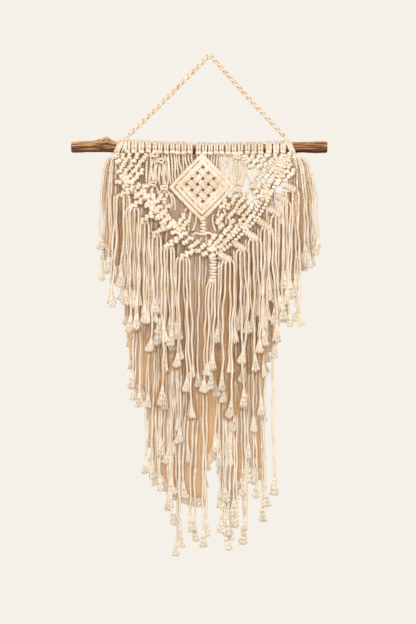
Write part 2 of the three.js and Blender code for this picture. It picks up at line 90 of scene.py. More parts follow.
# Ribs outside the swag: x, z of the lower end, tilt in degrees, and how low each of their strands ends.
RIBS = {
    -1: ((-126, -205, 22, (-375, -345, -372)), (-113, -224, 24, (-370, -411, -378, -405)),
         (-97, -245, 22, (-373, -405, -396, -380)), (-79, -265, 26, (-399, -440, -396, -520)),
         (-60, -282, 22, (-423, -427, -470, -432, -450)), (-37, -299, 18, (-421, -460, -500, -540, -480))),
    1: ((121, -198, -16, (-346, -361, -402)), (110, -216, -20, (-381, -350, -402, -370)),
        (99, -236, -24, (-361, -381, -404, -390)), (83, -254, -26, (-402, -440, -403, -425)),
        (65, -271, -26, (-408, -470, -415, -430)), (47, -287, -22, (-426, -520, -415, -460)),
        (25, -303, -16, (-426, -500, -470, -540))),
}
# The bundle at the swag's lowest point.
CENTRE = dict(x=5.0, z=-317.5, high=29.0, strands=4, hem=-520)
# How deep the strands of each layer hang, one after the other: below 0 is in front of the rod's middle.
LANES = dict(front=(-14.6, -18.6), middle=(-4.4, -0.4), long=(3.0, 6.0), side=(-1.4, 3.0, 7.4))

# Where the tips of the strands are, x and z, layer by layer.
TIPS = {
    "middle": (
        (-115, -493), (-112, -513), (-103, -525), (-92, -525), (-66, -530), (-47, -558), (-43, -577),
        (-30, -540), (-19, -495), (8, -507), (20, -520), (38, -560), (53, -484), (56, -528), (66, -560),
        (77, -534), (82, -481), (98, -450)),
    "long": (
        (-95, -624), (-82, -639), (-74, -651), (-68, -609), (-59, -609), (-62, -676), (-56, -699),
        (-48, -744), (-40, -663), (-32, -609), (-29, -708), (-22, -727), (-9, -733), (9, -594), (13, -615),
        (17, -676), (24, -735), (28, -676), (30, -613), (33, -726), (41, -706), (52, -729), (54, -655),
        (62, -609), (70, -658), (79, -696), (97, -654)),
    "left": (
        (-164, -290), (-161, -331), (-155, -304), (-151, -322), (-147, -335), (-142, -312), (-138, -339),
        (-133, -325), (-127, -333)),
    "right": (
        (163, -296), (158, -285), (154, -312), (149, -318), (144, -300), (139, -322), (134, -313),
        (131, -336), (126, -343), (120, -346)),
}
# Half width of each layer where it leaves the swag, the depth of its roots, and its first strand's number.
LAYERS = {"middle": dict(half=108, y=-3.2, seed=400), "long": dict(half=92, y=1.1, seed=500)}
# The second strand behind a front one: not below this hem, how far aside, and how deep.
FRONT_PAIR = dict(lowest=-455, aside=3.6, lane=-10.6)
# The one beside a long strand: not beyond this width or near the two gaps, how far aside and forward.
LONG_PAIR = dict(widest=90, gaps=(-23, 10), room=9, aside=5.0, forward=2.2)
# The side bundles: which side, where their middle is, how far they swing out, and their name.
SIDES = ((-1, -140.5, 20, "left"), (1, 126.5, 30, "right"))
# The plain cords at the back of a side bundle: how many, how low they reach, and how deep.
SIDE_BACK = dict(cords=8, hem=-288, y=10.0)

# How low the row of cords at the very back reaches.
BACK_HEM = (
    (-129, -365), (-115, -495), (-95, -515), (-88, -600), (-74, -634), (-59, -657), (-44, -664), (-22, -672),
    (-10, -672), (-4, -620), (4, -597), (13, -604), (19, -664), (31, -672), (43, -650), (50, -616),
    (58, -604), (70, -634), (77, -627), (82, -477), (92, -432), (106, -350), (121, -320))

# Where that row starts, from each x onward: at the rod, at the swag, or at the z itself.
AT_ROD, AT_SWAG = 0, 1
BACK_TOP = ((-200, AT_ROD), (14, -196), (20, -204), (27, -211), (36, -216), (52, -226), (62, AT_SWAG),
            (84, -250), (117, -203))
# Its cords: how far apart, how deep, by how much every other one lies deeper, and their radius.
BACK_ROW = dict(pitch=3.6, y=9.5, ragged=0.8, radius=2.15)

# ------------------------------------------------------------------ small helpers


def chance(n):
    """The same number from 0 to 1 each time for the same n."""
    return abs(math.sin(n * 12.9898 + 4.1) * 437.5453) % 1


def ease(v):
    v = min(1.0, max(0.0, v))
    return v * v * (3 - 2 * v)


def rod_middle(x):
    along = (x - ROD["left"]) / (ROD["right"] - ROD["left"])
    return ROD["z"] - ROD["sag"] * math.sin(math.pi * along) ** 2 + 1.2 * math.sin(7 * along)


def rod_radius(x):
    along = min(1.0, max(0.0, (x - ROD["left"]) / (ROD["right"] - ROD["left"])))
    return ROD["end"] - ROD["waist"] * math.sin(math.pi * along) ** 0.8


def swag_height(x):
    rows = sorted(set(SWAG_LEFT + SWAG_RIGHT))
    return float(np.interp(x, [r[0] for r in rows], [r[1] for r in rows]))


def smooth(points, step=3.0):
    """Points every step along a smooth curve through the given ones."""
    p = np.asarray(points, float)
    if len(p) > 2:
        ends = [2 * p[0] - p[1]], [2 * p[-1] - p[-2]]
        q = np.concatenate([ends[0], p, ends[1]])
        t = np.linspace(0, 1, 9)[:-1, None]
        fine = []
        for a, b, c, d in zip(q, q[1:], q[2:], q[3:]):
            fine.append(0.5 * (2 * b + (c - a) * t + (2 * a - 5 * b + 4 * c - d) * t**2
                               + (3 * b - a - 3 * c + d) * t**3))
        p = np.concatenate(fine + [p[-1:]])
    gone = np.concatenate([[0], np.cumsum(np.linalg.norm(np.diff(p, axis=0), axis=1))])
    count = max(2, int(round(gone[-1] / step)) + 1)
    at = np.linspace(0, gone[-1], count)
    return np.stack([np.interp(at, gone, p[:, k]) for k in range(3)], axis=1)


# The cotton pieces made so far, in order, for mark_painted_shade.
COTTON = []


class Yarn:
    """Gathers cords and loose fibres, and makes one mesh of them."""

    def __init__(self):
        self.verts, self.faces, self.uvs, self.slots, self.count = [], [], [], [], 0

    def tube(self, path, radii, sides, twist=0.0, lobe=0.0, phase=0.0, slot=0):
        """A closed tube along path. twist is in turns a millimetre, lobe the depth of the three plies."""
        p = np.asarray(path, float)
        n = len(p)
        tangent = np.gradient(p, axis=0)
        tangent /= np.linalg.norm(tangent, axis=1)[:, None]
        normal = np.zeros((n, 3))
        start = np.cross(tangent[0], (0.31, 0.87, 0.38))
        normal[0] = start / np.linalg.norm(start)
        for k in range(1, n):
            v = normal[k - 1] - normal[k - 1].dot(tangent[k]) * tangent[k]
            normal[k] = v / np.linalg.norm(v)
        other = np.cross(tangent, normal)
        gone = np.concatenate([[0], np.cumsum(np.linalg.norm(np.diff(p, axis=0), axis=1))])
        corner = np.arange(sides) / sides * 2 * math.pi
        turn = corner[None, :] + (phase + 2 * math.pi * twist * gone)[:, None]
        reach = np.asarray(radii, float).reshape(-1, 1) * (1 + lobe * (np.cos(3 * corner) - 0.25))[None, :]
        ring = (p[:, None, :] + (reach * np.cos(turn))[..., None] * normal[:, None, :]
                + (reach * np.sin(turn))[..., None] * other[:, None, :])
        base = self.count
        index = base + np.arange(n * sides).reshape(n, sides)
        a, b = index[:-1], index[1:]
        quads = np.stack([a, np.roll(a, -1, 1), np.roll(b, -1, 1), b], axis=-1).reshape(-1, 4)
        u0 = np.broadcast_to(np.arange(sides) / sides, (n - 1, sides))
        v0 = np.broadcast_to(gone[:-1, None], (n - 1, sides))
        v1 = np.broadcast_to(gone[1:, None], (n - 1, sides))
        u1 = u0 + 1 / sides
        uv = np.stack([np.stack([u0, v0], -1), np.stack([u1, v0], -1),
                       np.stack([u1, v1], -1), np.stack([u0, v1], -1)], axis=2).reshape(-1, 2)
        self.verts.append(ring.reshape(-1, 3))
        self.faces += quads.tolist()
        self.faces += [index[0, ::-1].tolist(), index[-1].tolist()]
        self.uvs += [uv, np.tile([[0.5, gone[0]]], (sides, 1)), np.tile([[0.5, gone[-1]]], (sides, 1))]
        self.slots += [slot] * (len(quads) + 2)
        self.count += n * sides

    def cord(self, path, radius=None, step=3.0, phase=0.0, ready=False, sides=9, lobe=0.12):
        """A laid cotton cord along path."""
        look = bpy.context.scene.macrame_cord
        radius = radius or look.diameter / MM / 2
        p = np.asarray(path, float) if ready else smooth(path, step)
        self.tube(p, np.full(len(p), radius), sides, 1 / (look.lay / MM), lobe, phase)
        return p

    def fray(self, at, along, seed, size=1.0):
        """The brush of loose fibres at the end of a strand: a flat fan with a ragged edge."""
        look = bpy.context.scene.macrame_cord
        long = look.tuft / MM * size
        along = np.asarray(along, float) / np.linalg.norm(along)
        side = np.cross(along, (0, 1, 0))
        side /= np.linalg.norm(side)
        turn = 1.2 * (chance(seed + 0.3) - 0.5)
        deep = np.cross(side, along)
        side = side * math.cos(turn) + deep * math.sin(turn)
        deep = np.cross(side, along)
        radius = look.diameter / MM / 2
        flare = look.flare * (0.8 + 0.4 * chance(seed + 0.5))
        t = np.array([-0.1, 0.08, 0.3, 0.6, 0.85, 1.0])
        spread = 1 + (flare - 1) * np.clip(t, 0, 1) ** 1.15
        bend = long * 0.25 * (chance(seed + 0.9) - 0.5) * np.clip(t, 0, 1) ** 2
        for k in range(look.fibres):
            lane = (k + 0.5) / look.fibres * 2 - 1
            layer = (k % 3 - 1) * 0.55
            reach = lane * radius * 0.8
            far = long * (1.0 - 0.10 * lane * lane + 0.14 * (chance(2.1 * seed + 1.7 * k) - 0.5))
            curl = 0.9 * (chance(1.3 * seed + k) - 0.5)
            thin = layer * radius * (0.6 + 0.35 * spread / flare) * (1 - 0.3 * lane * lane)
            points = (at + np.outer(t * far, along) + np.outer(spread * reach + bend + curl * t, side)
                      + np.outer(thin, deep))
            thick = radius * 0.5 * (0.75 + 0.5 * spread / flare) * [1, 1, 1, 1, 1, 0.7]
            self.tube(points, thick, sides=5, twist=0.03, phase=k, slot=1)

    def wrap(self, x, z, across, half, depth=3.6, radius=2.1, y=PANEL_Y, lean=0.0, reach=112, phase=0.0):
        """One turn of cord over a bar or knot: across is the angle it crosses at, in degrees."""
        turn = math.radians(across)
        u, v = (math.cos(turn), math.sin(turn)), (-math.sin(turn), math.cos(turn))
        path = []
        for k in range(-4, 5):
            a = math.radians(k * reach / 4)
            s, w = half * math.sin(a), lean * k / 4
            path.append((x + s * u[0] + w * v[0], y - depth * math.cos(a), z + s * u[1] + w * v[1]))
        self.cord(path, radius, step=2.8, phase=phase, lobe=0.05)

    def piece(self, name, nodes=(), rope=None):
        """The finished mesh, riding on the hanging's one body."""
        mesh = bpy.data.meshes.new(name)
        mesh.from_pydata((np.concatenate(self.verts) * MM).tolist(), [], self.faces)
        layer = mesh.uv_layers.new(name="UVMap")
        layer.data.foreach_set("uv", np.concatenate(self.uvs).astype(np.float32).ravel())
        mesh.polygons.foreach_set("material_index", self.slots)
        mesh.polygons.foreach_set("use_smooth", [True] * len(self.faces))
        mesh.materials.append((rope or cotton_rope)())
        mesh.materials.append(frayed_cotton())
        made = bpy.data.objects.new(name, mesh)
        bpy.context.scene.collection.objects.link(made)
        finish(made, nodes)
        COTTON.append(made)
        return made


def finish(made, nodes):
    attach(made, "root")
    if nodes:
        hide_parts(*nodes)


# ------------------------------------------------------------------ finishes


def linear(code):
    """A hex colour as linear red, green, blue and alpha."""
    parts = [int(code[i:i + 2], 16) / 255 for i in (1, 3, 5)]
    return tuple(c / 12.92 if c <= 0.04045 else ((c + 0.055) / 1.055) ** 2.4 for c in parts) + (1.0,)


def add_node(tree, kind, links=(), **settings):
    """A node with its settings. Links are (socket here, node, socket there)."""
    made = tree.nodes.new(kind)
    for key, value in settings.items():
        if key.startswith("in_"):
            made.inputs[key[3:].replace("_", " ")].default_value = value
        else:
            setattr(made, key, value)
    for here, node, there in links:
        tree.links.new(node.outputs[there], made.inputs[here])
    return made


def new_material(name):
    found = bpy.data.materials.get(name)
    if found:
        return found, None, None
    material = bpy.data.materials.new(name)
    material.use_nodes = True
    tree = material.node_tree
    return material, tree, tree.nodes["Principled BSDF"]


def ramp(tree, fac, stops):
    made = add_node(tree, "ShaderNodeValToRGB", [("Fac", fac[0], fac[1])])
    elements = made.color_ramp.elements
    while len(elements) < len(stops):
        elements.new(0.5)
    for element, (at, code) in zip(elements, stops):
        element.position = at
        element.color = linear(code)
    return made


def painted_depth_shade(tree, tone, shader, share=1.0):
    """Painted shade: cotton is painted a warm tan where it lies deep behind other cords, as the "depth"
    attribute says.
    """
    look = bpy.context.scene.macrame_cord
    depth = add_node(tree, "ShaderNodeAttribute", attribute_name="depth")
    part = add_node(tree, "ShaderNodeMath", [(0, depth, "Fac")], operation="MULTIPLY", use_clamp=True)
    part.inputs[1].default_value = share
    warm = add_node(tree, "ShaderNodeMixRGB", [("Fac", part, "Value"), ("Color1", tone, "Color")],
                    blend_type="MIX", in_Color2=linear(look.painted_shade_hex))
    tree.links.new(warm.outputs["Color"], shader.inputs["Base Color"])


def cotton_rope(name="cotton_rope", hollow=None, shade_groove=False):
    """Natural cotton rope, three plies laid together: matt, warm cream, with fine fibres along the plies,
    painted shade in the hollows of the plies, and painted shade where it lies behind other cords or, on the
    hanger, between its two cords.
    """
    look = bpy.context.scene.macrame_cord
    hollow = look.hollow if hollow is None else hollow
    material, tree, shader = new_material(name)
    if not tree:
        return material
    place = add_node(tree, "ShaderNodeTexCoord")
    along = add_node(tree, "ShaderNodeMapping", [("Vector", place, "UV")], in_Scale=(18.0, 0.9, 1.0))
    # Fibres lie along the plies: streaks about 1 mm long and 0.7 mm wide.
    fibre = add_node(tree, "ShaderNodeTexNoise", [("Vector", along, "Vector")],
                     in_Scale=1.0, in_Detail=3.0, in_Roughness=0.6)
    # Slow changes of shade over 20 mm, as the raw cotton has.
    patch = add_node(tree, "ShaderNodeTexNoise", [("Vector", place, "Object")],
                     in_Scale=50.0, in_Detail=2.0, in_Roughness=0.5)
    both = add_node(tree, "ShaderNodeMath", [(0, fibre, "Fac"), (1, patch, "Fac"), (2, patch, "Fac")],
                    operation="MULTIPLY_ADD")
    tone = ramp(tree, (both, "Value"), ((0.5, look.shade_hex), (0.75, look.base_hex), (1.0, look.light_hex)))
    # Painted shade: the hollows between the three plies are painted tan, so the twist of the rope can be
    # seen.
    round_way = add_node(tree, "ShaderNodeSeparateXYZ", [("Vector", place, "UV")])
    turns = add_node(tree, "ShaderNodeMath", [(0, round_way, "X")], operation="MULTIPLY")
    turns.inputs[1].default_value = 6 * math.pi
    wave = add_node(tree, "ShaderNodeMath", [(0, turns, "Value")], operation="COSINE")
    shade = add_node(tree, "ShaderNodeMapRange", [("Value", wave, "Value")],
                     in_From_Min=-0.1, in_From_Max=-1.0, in_To_Min=0.0, in_To_Max=hollow)
    laid = add_node(tree, "ShaderNodeMixRGB", [("Fac", shade, "Result"), ("Color1", tone, "Color")],
                    blend_type="MIX", in_Color2=linear(look.painted_shade_hex))
    if shade_groove:
        # Painted shade: the cords are painted tan the nearer they lie to the hanger's own middle plane, the
        # groove where the two cords press together.
        spot = add_node(tree, "ShaderNodeSeparateXYZ", [("Vector", place, "Object")])
        off = add_node(tree, "ShaderNodeMath", [(0, spot, "Y")], operation="ABSOLUTE")
        groove_tint = add_node(tree, "ShaderNodeMapRange", [("Value", off, "Value")],
                        in_From_Min=0.0004, in_From_Max=0.0027, in_To_Min=0.72, in_To_Max=0.06)
        groove_colour = add_node(tree, "ShaderNodeMixRGB", [("Fac", groove_tint, "Result"), ("Color1", laid, "Color")],
                          blend_type="MIX", in_Color2=linear(look.painted_shade_hex))
        tree.links.new(groove_colour.outputs["Color"], shader.inputs["Base Color"])
    else:
        # Painted shade where the rope lies behind other cords.
        painted_depth_shade(tree, laid, shader)
    bump = add_node(tree, "ShaderNodeBump", [("Height", fibre, "Fac")], in_Strength=0.35, in_Distance=0.0004)
    tree.links.new(bump.outputs["Normal"], shader.inputs["Normal"])
    shader.inputs["Roughness"].default_value = 0.92
    shader.inputs["Specular IOR Level"].default_value = 0.25
    shader.inputs["Sheen Weight"].default_value = 0.25
    shader.inputs["Sheen Roughness"].default_value = 0.5
    return material


def tight_rope():
    """The same rope pulled tight over the rod: its plies lie flat, so the painted shade in the hollows
    between them is faint, and it looks smoother and whiter.
    """
    return cotton_rope("tight_cotton_rope", 0.08)


def groove_shaded_rope():
    """The same rope with faint ply hollows, painted tan between the two cords as shade in the groove where
    they press together.
    """
    return cotton_rope("handled_cotton_rope", 0.05, shade_groove=True)


def frayed_cotton():
    """The same cotton combed out: softer, and paler because it gets less than half the painted shade of
    depth.
    """
    look = bpy.context.scene.macrame_cord
    material, tree, shader = new_material("frayed_cotton")
    if not tree:
        return material
    place = add_node(tree, "ShaderNodeTexCoord")
    # The combed fibres hang down: streaks 1.5 mm wide and 14 mm long.
    down = add_node(tree, "ShaderNodeMapping", [("Vector", place, "Object")], in_Scale=(1.0, 1.0, 0.11))
    strand = add_node(tree, "ShaderNodeTexNoise", [("Vector", down, "Vector")],
                      in_Scale=650.0, in_Detail=2.0)
    tone = ramp(tree, (strand, "Fac"), ((0.3, look.shade_hex), (0.5, look.base_hex), (0.7, look.light_hex)))
    # Painted shade of depth, at 0.45 of its full strength.
    painted_depth_shade(tree, tone, shader, 0.45)
    shader.inputs["Roughness"].default_value = 0.95
    shader.inputs["Specular IOR Level"].default_value = 0.2
    shader.inputs["Sheen Weight"].default_value = 0.35
    return material


def driftwood():
    """Weathered hardwood: brown, with long cracks, painted darker towards the underside as if lit from above,
    and darker to the right.
    """
    look = bpy.context.scene.macrame_rod
    material, tree, shader = new_material("weathered_driftwood")
    if not tree:
        return material
    place = add_node(tree, "ShaderNodeTexCoord")
    # Grain runs along the rod: lines about 2.4 mm apart and 40 mm long.
    stretch = add_node(tree, "ShaderNodeMapping", [("Vector", place, "Object")], in_Scale=(0.06, 1.0, 1.0))
    grain = add_node(tree, "ShaderNodeTexNoise", [("Vector", stretch, "Vector")],
                     in_Scale=420.0, in_Detail=6.0, in_Roughness=0.65)
    tone = ramp(tree, (grain, "Fac"), ((0.32, look.dark_hex), (0.5, look.base_hex), (0.7, look.light_hex)))
    # Long dark cracks, 6 to 10 mm apart.
    split = add_node(tree, "ShaderNodeTexNoise", [("Vector", stretch, "Vector")],
                     in_Scale=150.0, in_Detail=3.0, in_Distortion=0.6)
    line = ramp(tree, (split, "Fac"), ((0.44, "#ffffff"), (0.485, "#6b4a33"), (0.53, "#ffffff")))
    cracked = add_node(tree, "ShaderNodeMixRGB", [("Color1", tone, "Color"), ("Color2", line, "Color")],
                       blend_type="MULTIPLY", in_Fac=0.75)
    # Painted light and shade: the colour darkens from the upper side to the underside, as light from above
    # would shade it.
    face = add_node(tree, "ShaderNodeNewGeometry")
    up = add_node(tree, "ShaderNodeSeparateXYZ", [("Vector", face, "Normal")])
    lit_from_above = add_node(tree, "ShaderNodeMapRange", [("Value", up, "Z")], in_From_Min=-0.75, in_From_Max=0.7)
    top_light_ramp = ramp(tree, (lit_from_above, "Result"),
                  ((0.0, "#3a2110"), (0.4, "#86603f"), (0.6, "#d8bc9c"), (1.0, "#ffffff")))
    cracked_and_lit = add_node(tree, "ShaderNodeMixRGB",
                         [("Color1", cracked, "Color"), ("Color2", top_light_ramp, "Color")],
                         blend_type="MULTIPLY", in_Fac=0.9)
    # The right third is darker.
    side = add_node(tree, "ShaderNodeSeparateXYZ", [("Vector", place, "Object")])
    right = add_node(tree, "ShaderNodeMapRange", [("Value", side, "X")],
                     in_From_Min=-0.05, in_From_Max=0.14, in_To_Min=0.0, in_To_Max=0.35)
    dark = add_node(tree, "ShaderNodeMixRGB", [("Fac", right, "Result"), ("Color1", cracked_and_lit, "Color")],
                    blend_type="MULTIPLY", in_Color2=linear("#8c6a50"))
    tree.links.new(dark.outputs["Color"], shader.inputs["Base Color"])
    bump = add_node(tree, "ShaderNodeBump", [("Height", grain, "Fac")], in_Strength=0.6, in_Distance=0.0012)
    tree.links.new(bump.outputs["Normal"], shader.inputs["Normal"])
    shader.inputs["Roughness"].default_value = 0.72
    shader.inputs["Specular IOR Level"].default_value = 0.35
    return material


def plain_finish(name, code, roughness):
    """A plain painted studio surface."""
    material, tree, shader = new_material(name)
    if tree:
        shader.inputs["Base Color"].default_value = linear(code)
        shader.inputs["Roughness"].default_value = roughness
        shader.inputs["Specular IOR Level"].default_value = 0.1
    return material


# ------------------------------------------------------------------ the rod


def build_rod():
    """The branch: a many-sided bar, subdivided, whose skin is moved by grain, cracks and the broken stub."""
    look = bpy.context.scene.macrame_rod
    long = ROD["right"] - ROD["left"]
    mesh = bmesh.new()
    bmesh.ops.create_cone(mesh, cap_ends=True, cap_tris=False, segments=ROD_MESH["sides"],
                          radius1=1, radius2=1, depth=long)
    sides = [e for e in mesh.edges if abs(e.verts[0].co.z - e.verts[1].co.z) > 1]
    bmesh.ops.subdivide_edges(mesh, edges=sides, cuts=ROD_MESH["cuts"])
    caps = [f for f in mesh.faces if len(f.verts) > 4]
    bmesh.ops.inset_individual(mesh, faces=caps, thickness=0.12)
    bmesh.ops.inset_individual(mesh, faces=caps, thickness=0.3)
    for v in mesh.verts:
        x = ROD["left"] + long / 2 + v.co.z
        angle = math.atan2(v.co.x, v.co.y)
        size = math.hypot(v.co.x, v.co.y)
        bare = 1.0 if x < BARE["left"] or x > BARE["right"] else BARE["worn"]
        wave = 0.4 * math.sin(3 * angle + x / 17) + 0.35 * math.sin(5 * angle - x / 23)
        crack = -look.crack / MM * max(0.0, math.sin(7 * angle + 1.1 * math.sin(x / 13) + x / 60)) ** 8
        ridge = 0.3 * math.sin(16 * angle + 2.2 * math.sin(x / 21)) + 0.2 * math.sin(27 * angle + x / 5)
        knot = 0.0
        for at, half, facing, wide, deep in DENTS:
            knot -= deep * math.exp(-((x - at) / half) ** 2 - ((angle - facing) / wide) ** 2)
        up = max(0.0, v.co.y / max(size, 1e-6))
        off = x - STUB["x"]
        slope = STUB["left"] if off < 0 else STUB["right"]
        stub = STUB["high"] * math.exp(-(abs(off) / slope) ** 1.5) * up ** 3
        lump = LUMP["high"] * math.exp(-((x - LUMP["x"]) / LUMP["half"]) ** 2)
        lump *= max(0.0, math.cos(angle - LUMP["angle"])) ** 2
        end = min(x - ROD["left"], ROD["right"] - x)
        rim = -1.6 * math.exp(-end / 1.6) if size > 0.99 else 0.0
        radius = rod_radius(x) - 0.2 + bare * (wave + crack + ridge + knot + lump) + stub + rim
        if end < 0.01:
            rough = 0.5 * math.sin(3.1 * angle + 9 * size) * (1 if x < 0 else 0.4)
            x += rough - 0.4 if x < 0 else rough * 0.5
        reach = size * radius
        v.co = Vector((x, reach * math.sin(angle), rod_middle(x) + reach * math.cos(angle))) * MM
    bmesh.ops.recalc_face_normals(mesh, faces=mesh.faces)
    data = bpy.data.meshes.new("driftwood_branch")
    mesh.to_mesh(data)
    mesh.free()
    data.polygons.foreach_set("use_smooth", [True] * len(data.polygons))
    data.materials.append(driftwood())
    made = bpy.data.objects.new("driftwood_branch", data)
    bpy.context.scene.collection.objects.link(made)
    finish(made, ["driftwood_rod"])


# ------------------------------------------------------------------ the hanger


def twist(yarn, points, swing, pitch, radius):
    """Two cords twisted round each other along a path."""
    middle = smooth(points, 1.6)
    tangent = np.gradient(middle, axis=0)
    tangent /= np.linalg.norm(tangent, axis=1)[:, None]
    side = np.stack([-tangent[:, 2], np.zeros(len(middle)), tangent[:, 0]], axis=1)
    gone = np.concatenate([[0], np.cumsum(np.linalg.norm(np.diff(middle, axis=0), axis=1))])
    for k in (0, 1):
        turn = 2 * math.pi * (gone / pitch + k / 2)
        path = middle + side * (swing * np.sin(turn))[:, None]
        path[:, 1] -= swing * np.cos(turn)
        yarn.cord(path, radius, ready=True, phase=k, lobe=0.03)


def build_hanger():
    """The hanging cord: two cords twisted together, with their loops round the rod."""
    yarn = Yarn()
    for side, foot in HANGER["feet"]:
        low = rod_middle(foot) + rod_radius(foot)
        twist(yarn, [(side * 0.01, 0, 1.9), (side * 5, 0, -2.2), (foot * 0.5, 0, low * 0.5 + 1.5),
                     (foot - side * 9, 0, low + 11)], HANGER["swing"], HANGER["pitch"], HANGER["cord"])
        # The twist opens into cords that fan over the rod.
        for k, aim in enumerate((-1.5, 4.0) if side < 0 else (-2.5, 1.0)):
            x = foot + aim
            r = rod_radius(x) + 1.9
            z = rod_middle(x)
            path = [(foot - side * 9, 0, low + 11), (x - side * 2.5, -2.5, z + r + 4.5)]
            path += [(x + side * 1.8 * j, -r * math.sin(math.radians(a)), z + r * math.cos(math.radians(a)))
                     for j, a in enumerate((25, 60, 95, 130, 160))]
            yarn.cord(path, HANGER["loop"], phase=k)
            path = [(x, r * math.sin(math.radians(a)), z + r * math.cos(math.radians(a)))
                    for a in (-40, 0, 40, 80, 120, 160, 200)]
            yarn.cord(path, HANGER["loop"], phase=k + 2)
    yarn.wrap(-0.2, 3.0, across=0, half=3.6, depth=2.2, radius=1.2, y=0)
    yarn.piece("twisted_hanger", ["hanger"], rope=groove_shaded_rope)


# ------------------------------------------------------------------ lark's heads


def build_heads():
    """Each mounting cord is folded over the rod: two turns side by side, and its own bar across them."""
    yarn = Yarn()
    for i, x in enumerate(HEADS):
        room = min([abs(x - other) for other in HEADS if other != x])
        thick = (min(room, 10.6) - 0.8) / 4
        for k in (-1, 1):
            at = x + k * (thick - 0.1 + 0.15 * chance(i + k))
            r = rod_radius(at) + 2.0
            z = rod_middle(at)
            drift = 1.0 * (chance(7 * i + k) - 0.5)
            path = [(at - 0.1 * k + drift * a / 200, -r * math.sin(math.radians(a)) * 0.98,
                     z + r * math.cos(math.radians(a))) for a in range(-150, 121, 20)]
            path.append((at + drift + 0.2 * k, PANEL_Y + 4, z - r - 2))
            yarn.cord(path, thick, phase=i + 2 * k, lobe=0.03)
        z = rod_middle(x) - 6.4 + 1.8 * (chance(3 * i) - 0.5)
        yarn.wrap(x + 0.8 * (chance(i + 5) - 0.5), z, across=30 * (chance(i) - 0.5), half=1.9, depth=5.2,
                  radius=3.0, y=-9.2, phase=i)
    yarn.piece("larks_heads", rope=tight_rope)


# ------------------------------------------------------------------ knots

# Square knots with plain bars across: x, z, wide, high, tilt.
SQUARES = (
    (-83.3, -147.5, 15, 8, 6), (-74.3, -156, 15, 8, -8), (-85.5, -190.5, 14, 9, -4), (-68, -196.5, 13, 9, 4),
    (41, -150, 13, 8, -6), (53, -156.5, 14, 8, 5), (41, -199, 13, 9, 0), (66, -194, 14, 9, 8),
)

# Where berry knots lie close together: the corners of each ground, x and z.
GROUNDS = (
    ((-137, -146), (-93, -146), (-91, -206), (-60, -212), (-60, -243), (-42, -243), (-42, -238), (-27, -241),
     (-27, -283), (-136, -188)),
    ((14, -230), (26, -212), (42, -203), (58, -212), (66, -222), (66, -243), (24, -287), (-4, -287),
     (-4, -268), (8, -268), (8, -238)),
    ((60, -146), (122, -146), (126, -182), (114, -176), (84, -216), (64, -204), (64, -192), (76, -186),
     (80, -170), (62, -168)),
    ((31, -147), (60, -147), (60, -160), (31, -152)),
)
# Openings kept clear of knots: x from, x to, z from, z to.
WINDOWS = (
    (-27, -14, -264, -242), (-2, 7, -267, -241), (-27, -12, -279, -267), (-40, -33, -270, -260),
    (-103, -95, -186, -176), (-99, -92, -172, -163), (9, 13, -270, -260), (17, 22, -234, -227),
    (24, 30, -252, -245), (37, 41, -244, -235), (78, 84, -197, -186), (84, 90, -172, -163),
    (92, 97, -196, -188), (101, 105, -166, -160), (70, 74, -178, -170),
)
# How far a knot stays from an opening.
WINDOW_ROOM = 1.5
# The lattice that the nets lie on: its first knot, its steps, how many rows and columns, how wide a knot
# is, and the radius of the cords that cross.
NET = dict(x=-142.0, z=-149.0, wide=11.4, high=7.6, rows=20, columns=26, knot=11.4, cord=1.6)
# A berry knot: the radius of its two turns and of the one across, how far each of the two lies from its
# middle, and its lean in degrees.
BERRY = dict(turn=3.0, cross=2.5, apart=2.5, lean=-40)
# The two wrapped sinnets in the middle: top x and z, turns, step down, slant, half width, depth, y.
SINNETS = (
    (-9.5, -244, 6, 4.4, 8, 3.4, 4.2, PANEL_Y),
    (CENTRE["x"], -303, 7, 4.5, 5, 3.9, 4.4, -10),
)


def within(x, z, corners):
    """Whether a point lies inside a polygon."""
    inside = False
    for (a, b), (c, d) in zip(corners, corners[1:] + corners[:1]):
        if (b > z) != (d > z) and x < a + (z - b) * (c - a) / (d - b):
            inside = not inside
    return inside


def berry(yarn, x, z, size, tilt, seed, y=-8.4):
    """A small round knot: two fat turns side by side and one across them."""
    half = size * 0.5 - 2.9
    slant = tilt + BERRY["lean"]
    turn = math.radians(slant + 90)
    for k in (-1, 1):
        off = BERRY["apart"] * k
        yarn.wrap(x + off * math.cos(turn), z + off * math.sin(turn), slant + 8 * k,
                  half + 0.8 * (chance(seed + k) - 0.5), depth=1.7, radius=BERRY["turn"], y=y, phase=seed + k)
    yarn.wrap(x, z, tilt + 45 + 24 * (chance(seed) - 0.5), half + 0.4, depth=2.2, radius=BERRY["cross"],
              y=y, phase=seed)


def clear_of_all(x, z):
    """Whether a knot may lie here: inside a ground, clear of the windows and the diamond."""
    room = DIAMOND["edge"] * math.sqrt(2) + (3 if x < 0 else 1)
    if abs(x - DIAMOND["x"]) + abs(z - DIAMOND["z"]) < room or not any(within(x, z, g) for g in GROUNDS):
        return False
    gap = WINDOW_ROOM
    return not any(a - gap < x < b + gap and c - gap < z < d + gap for a, b, c, d in WINDOWS)


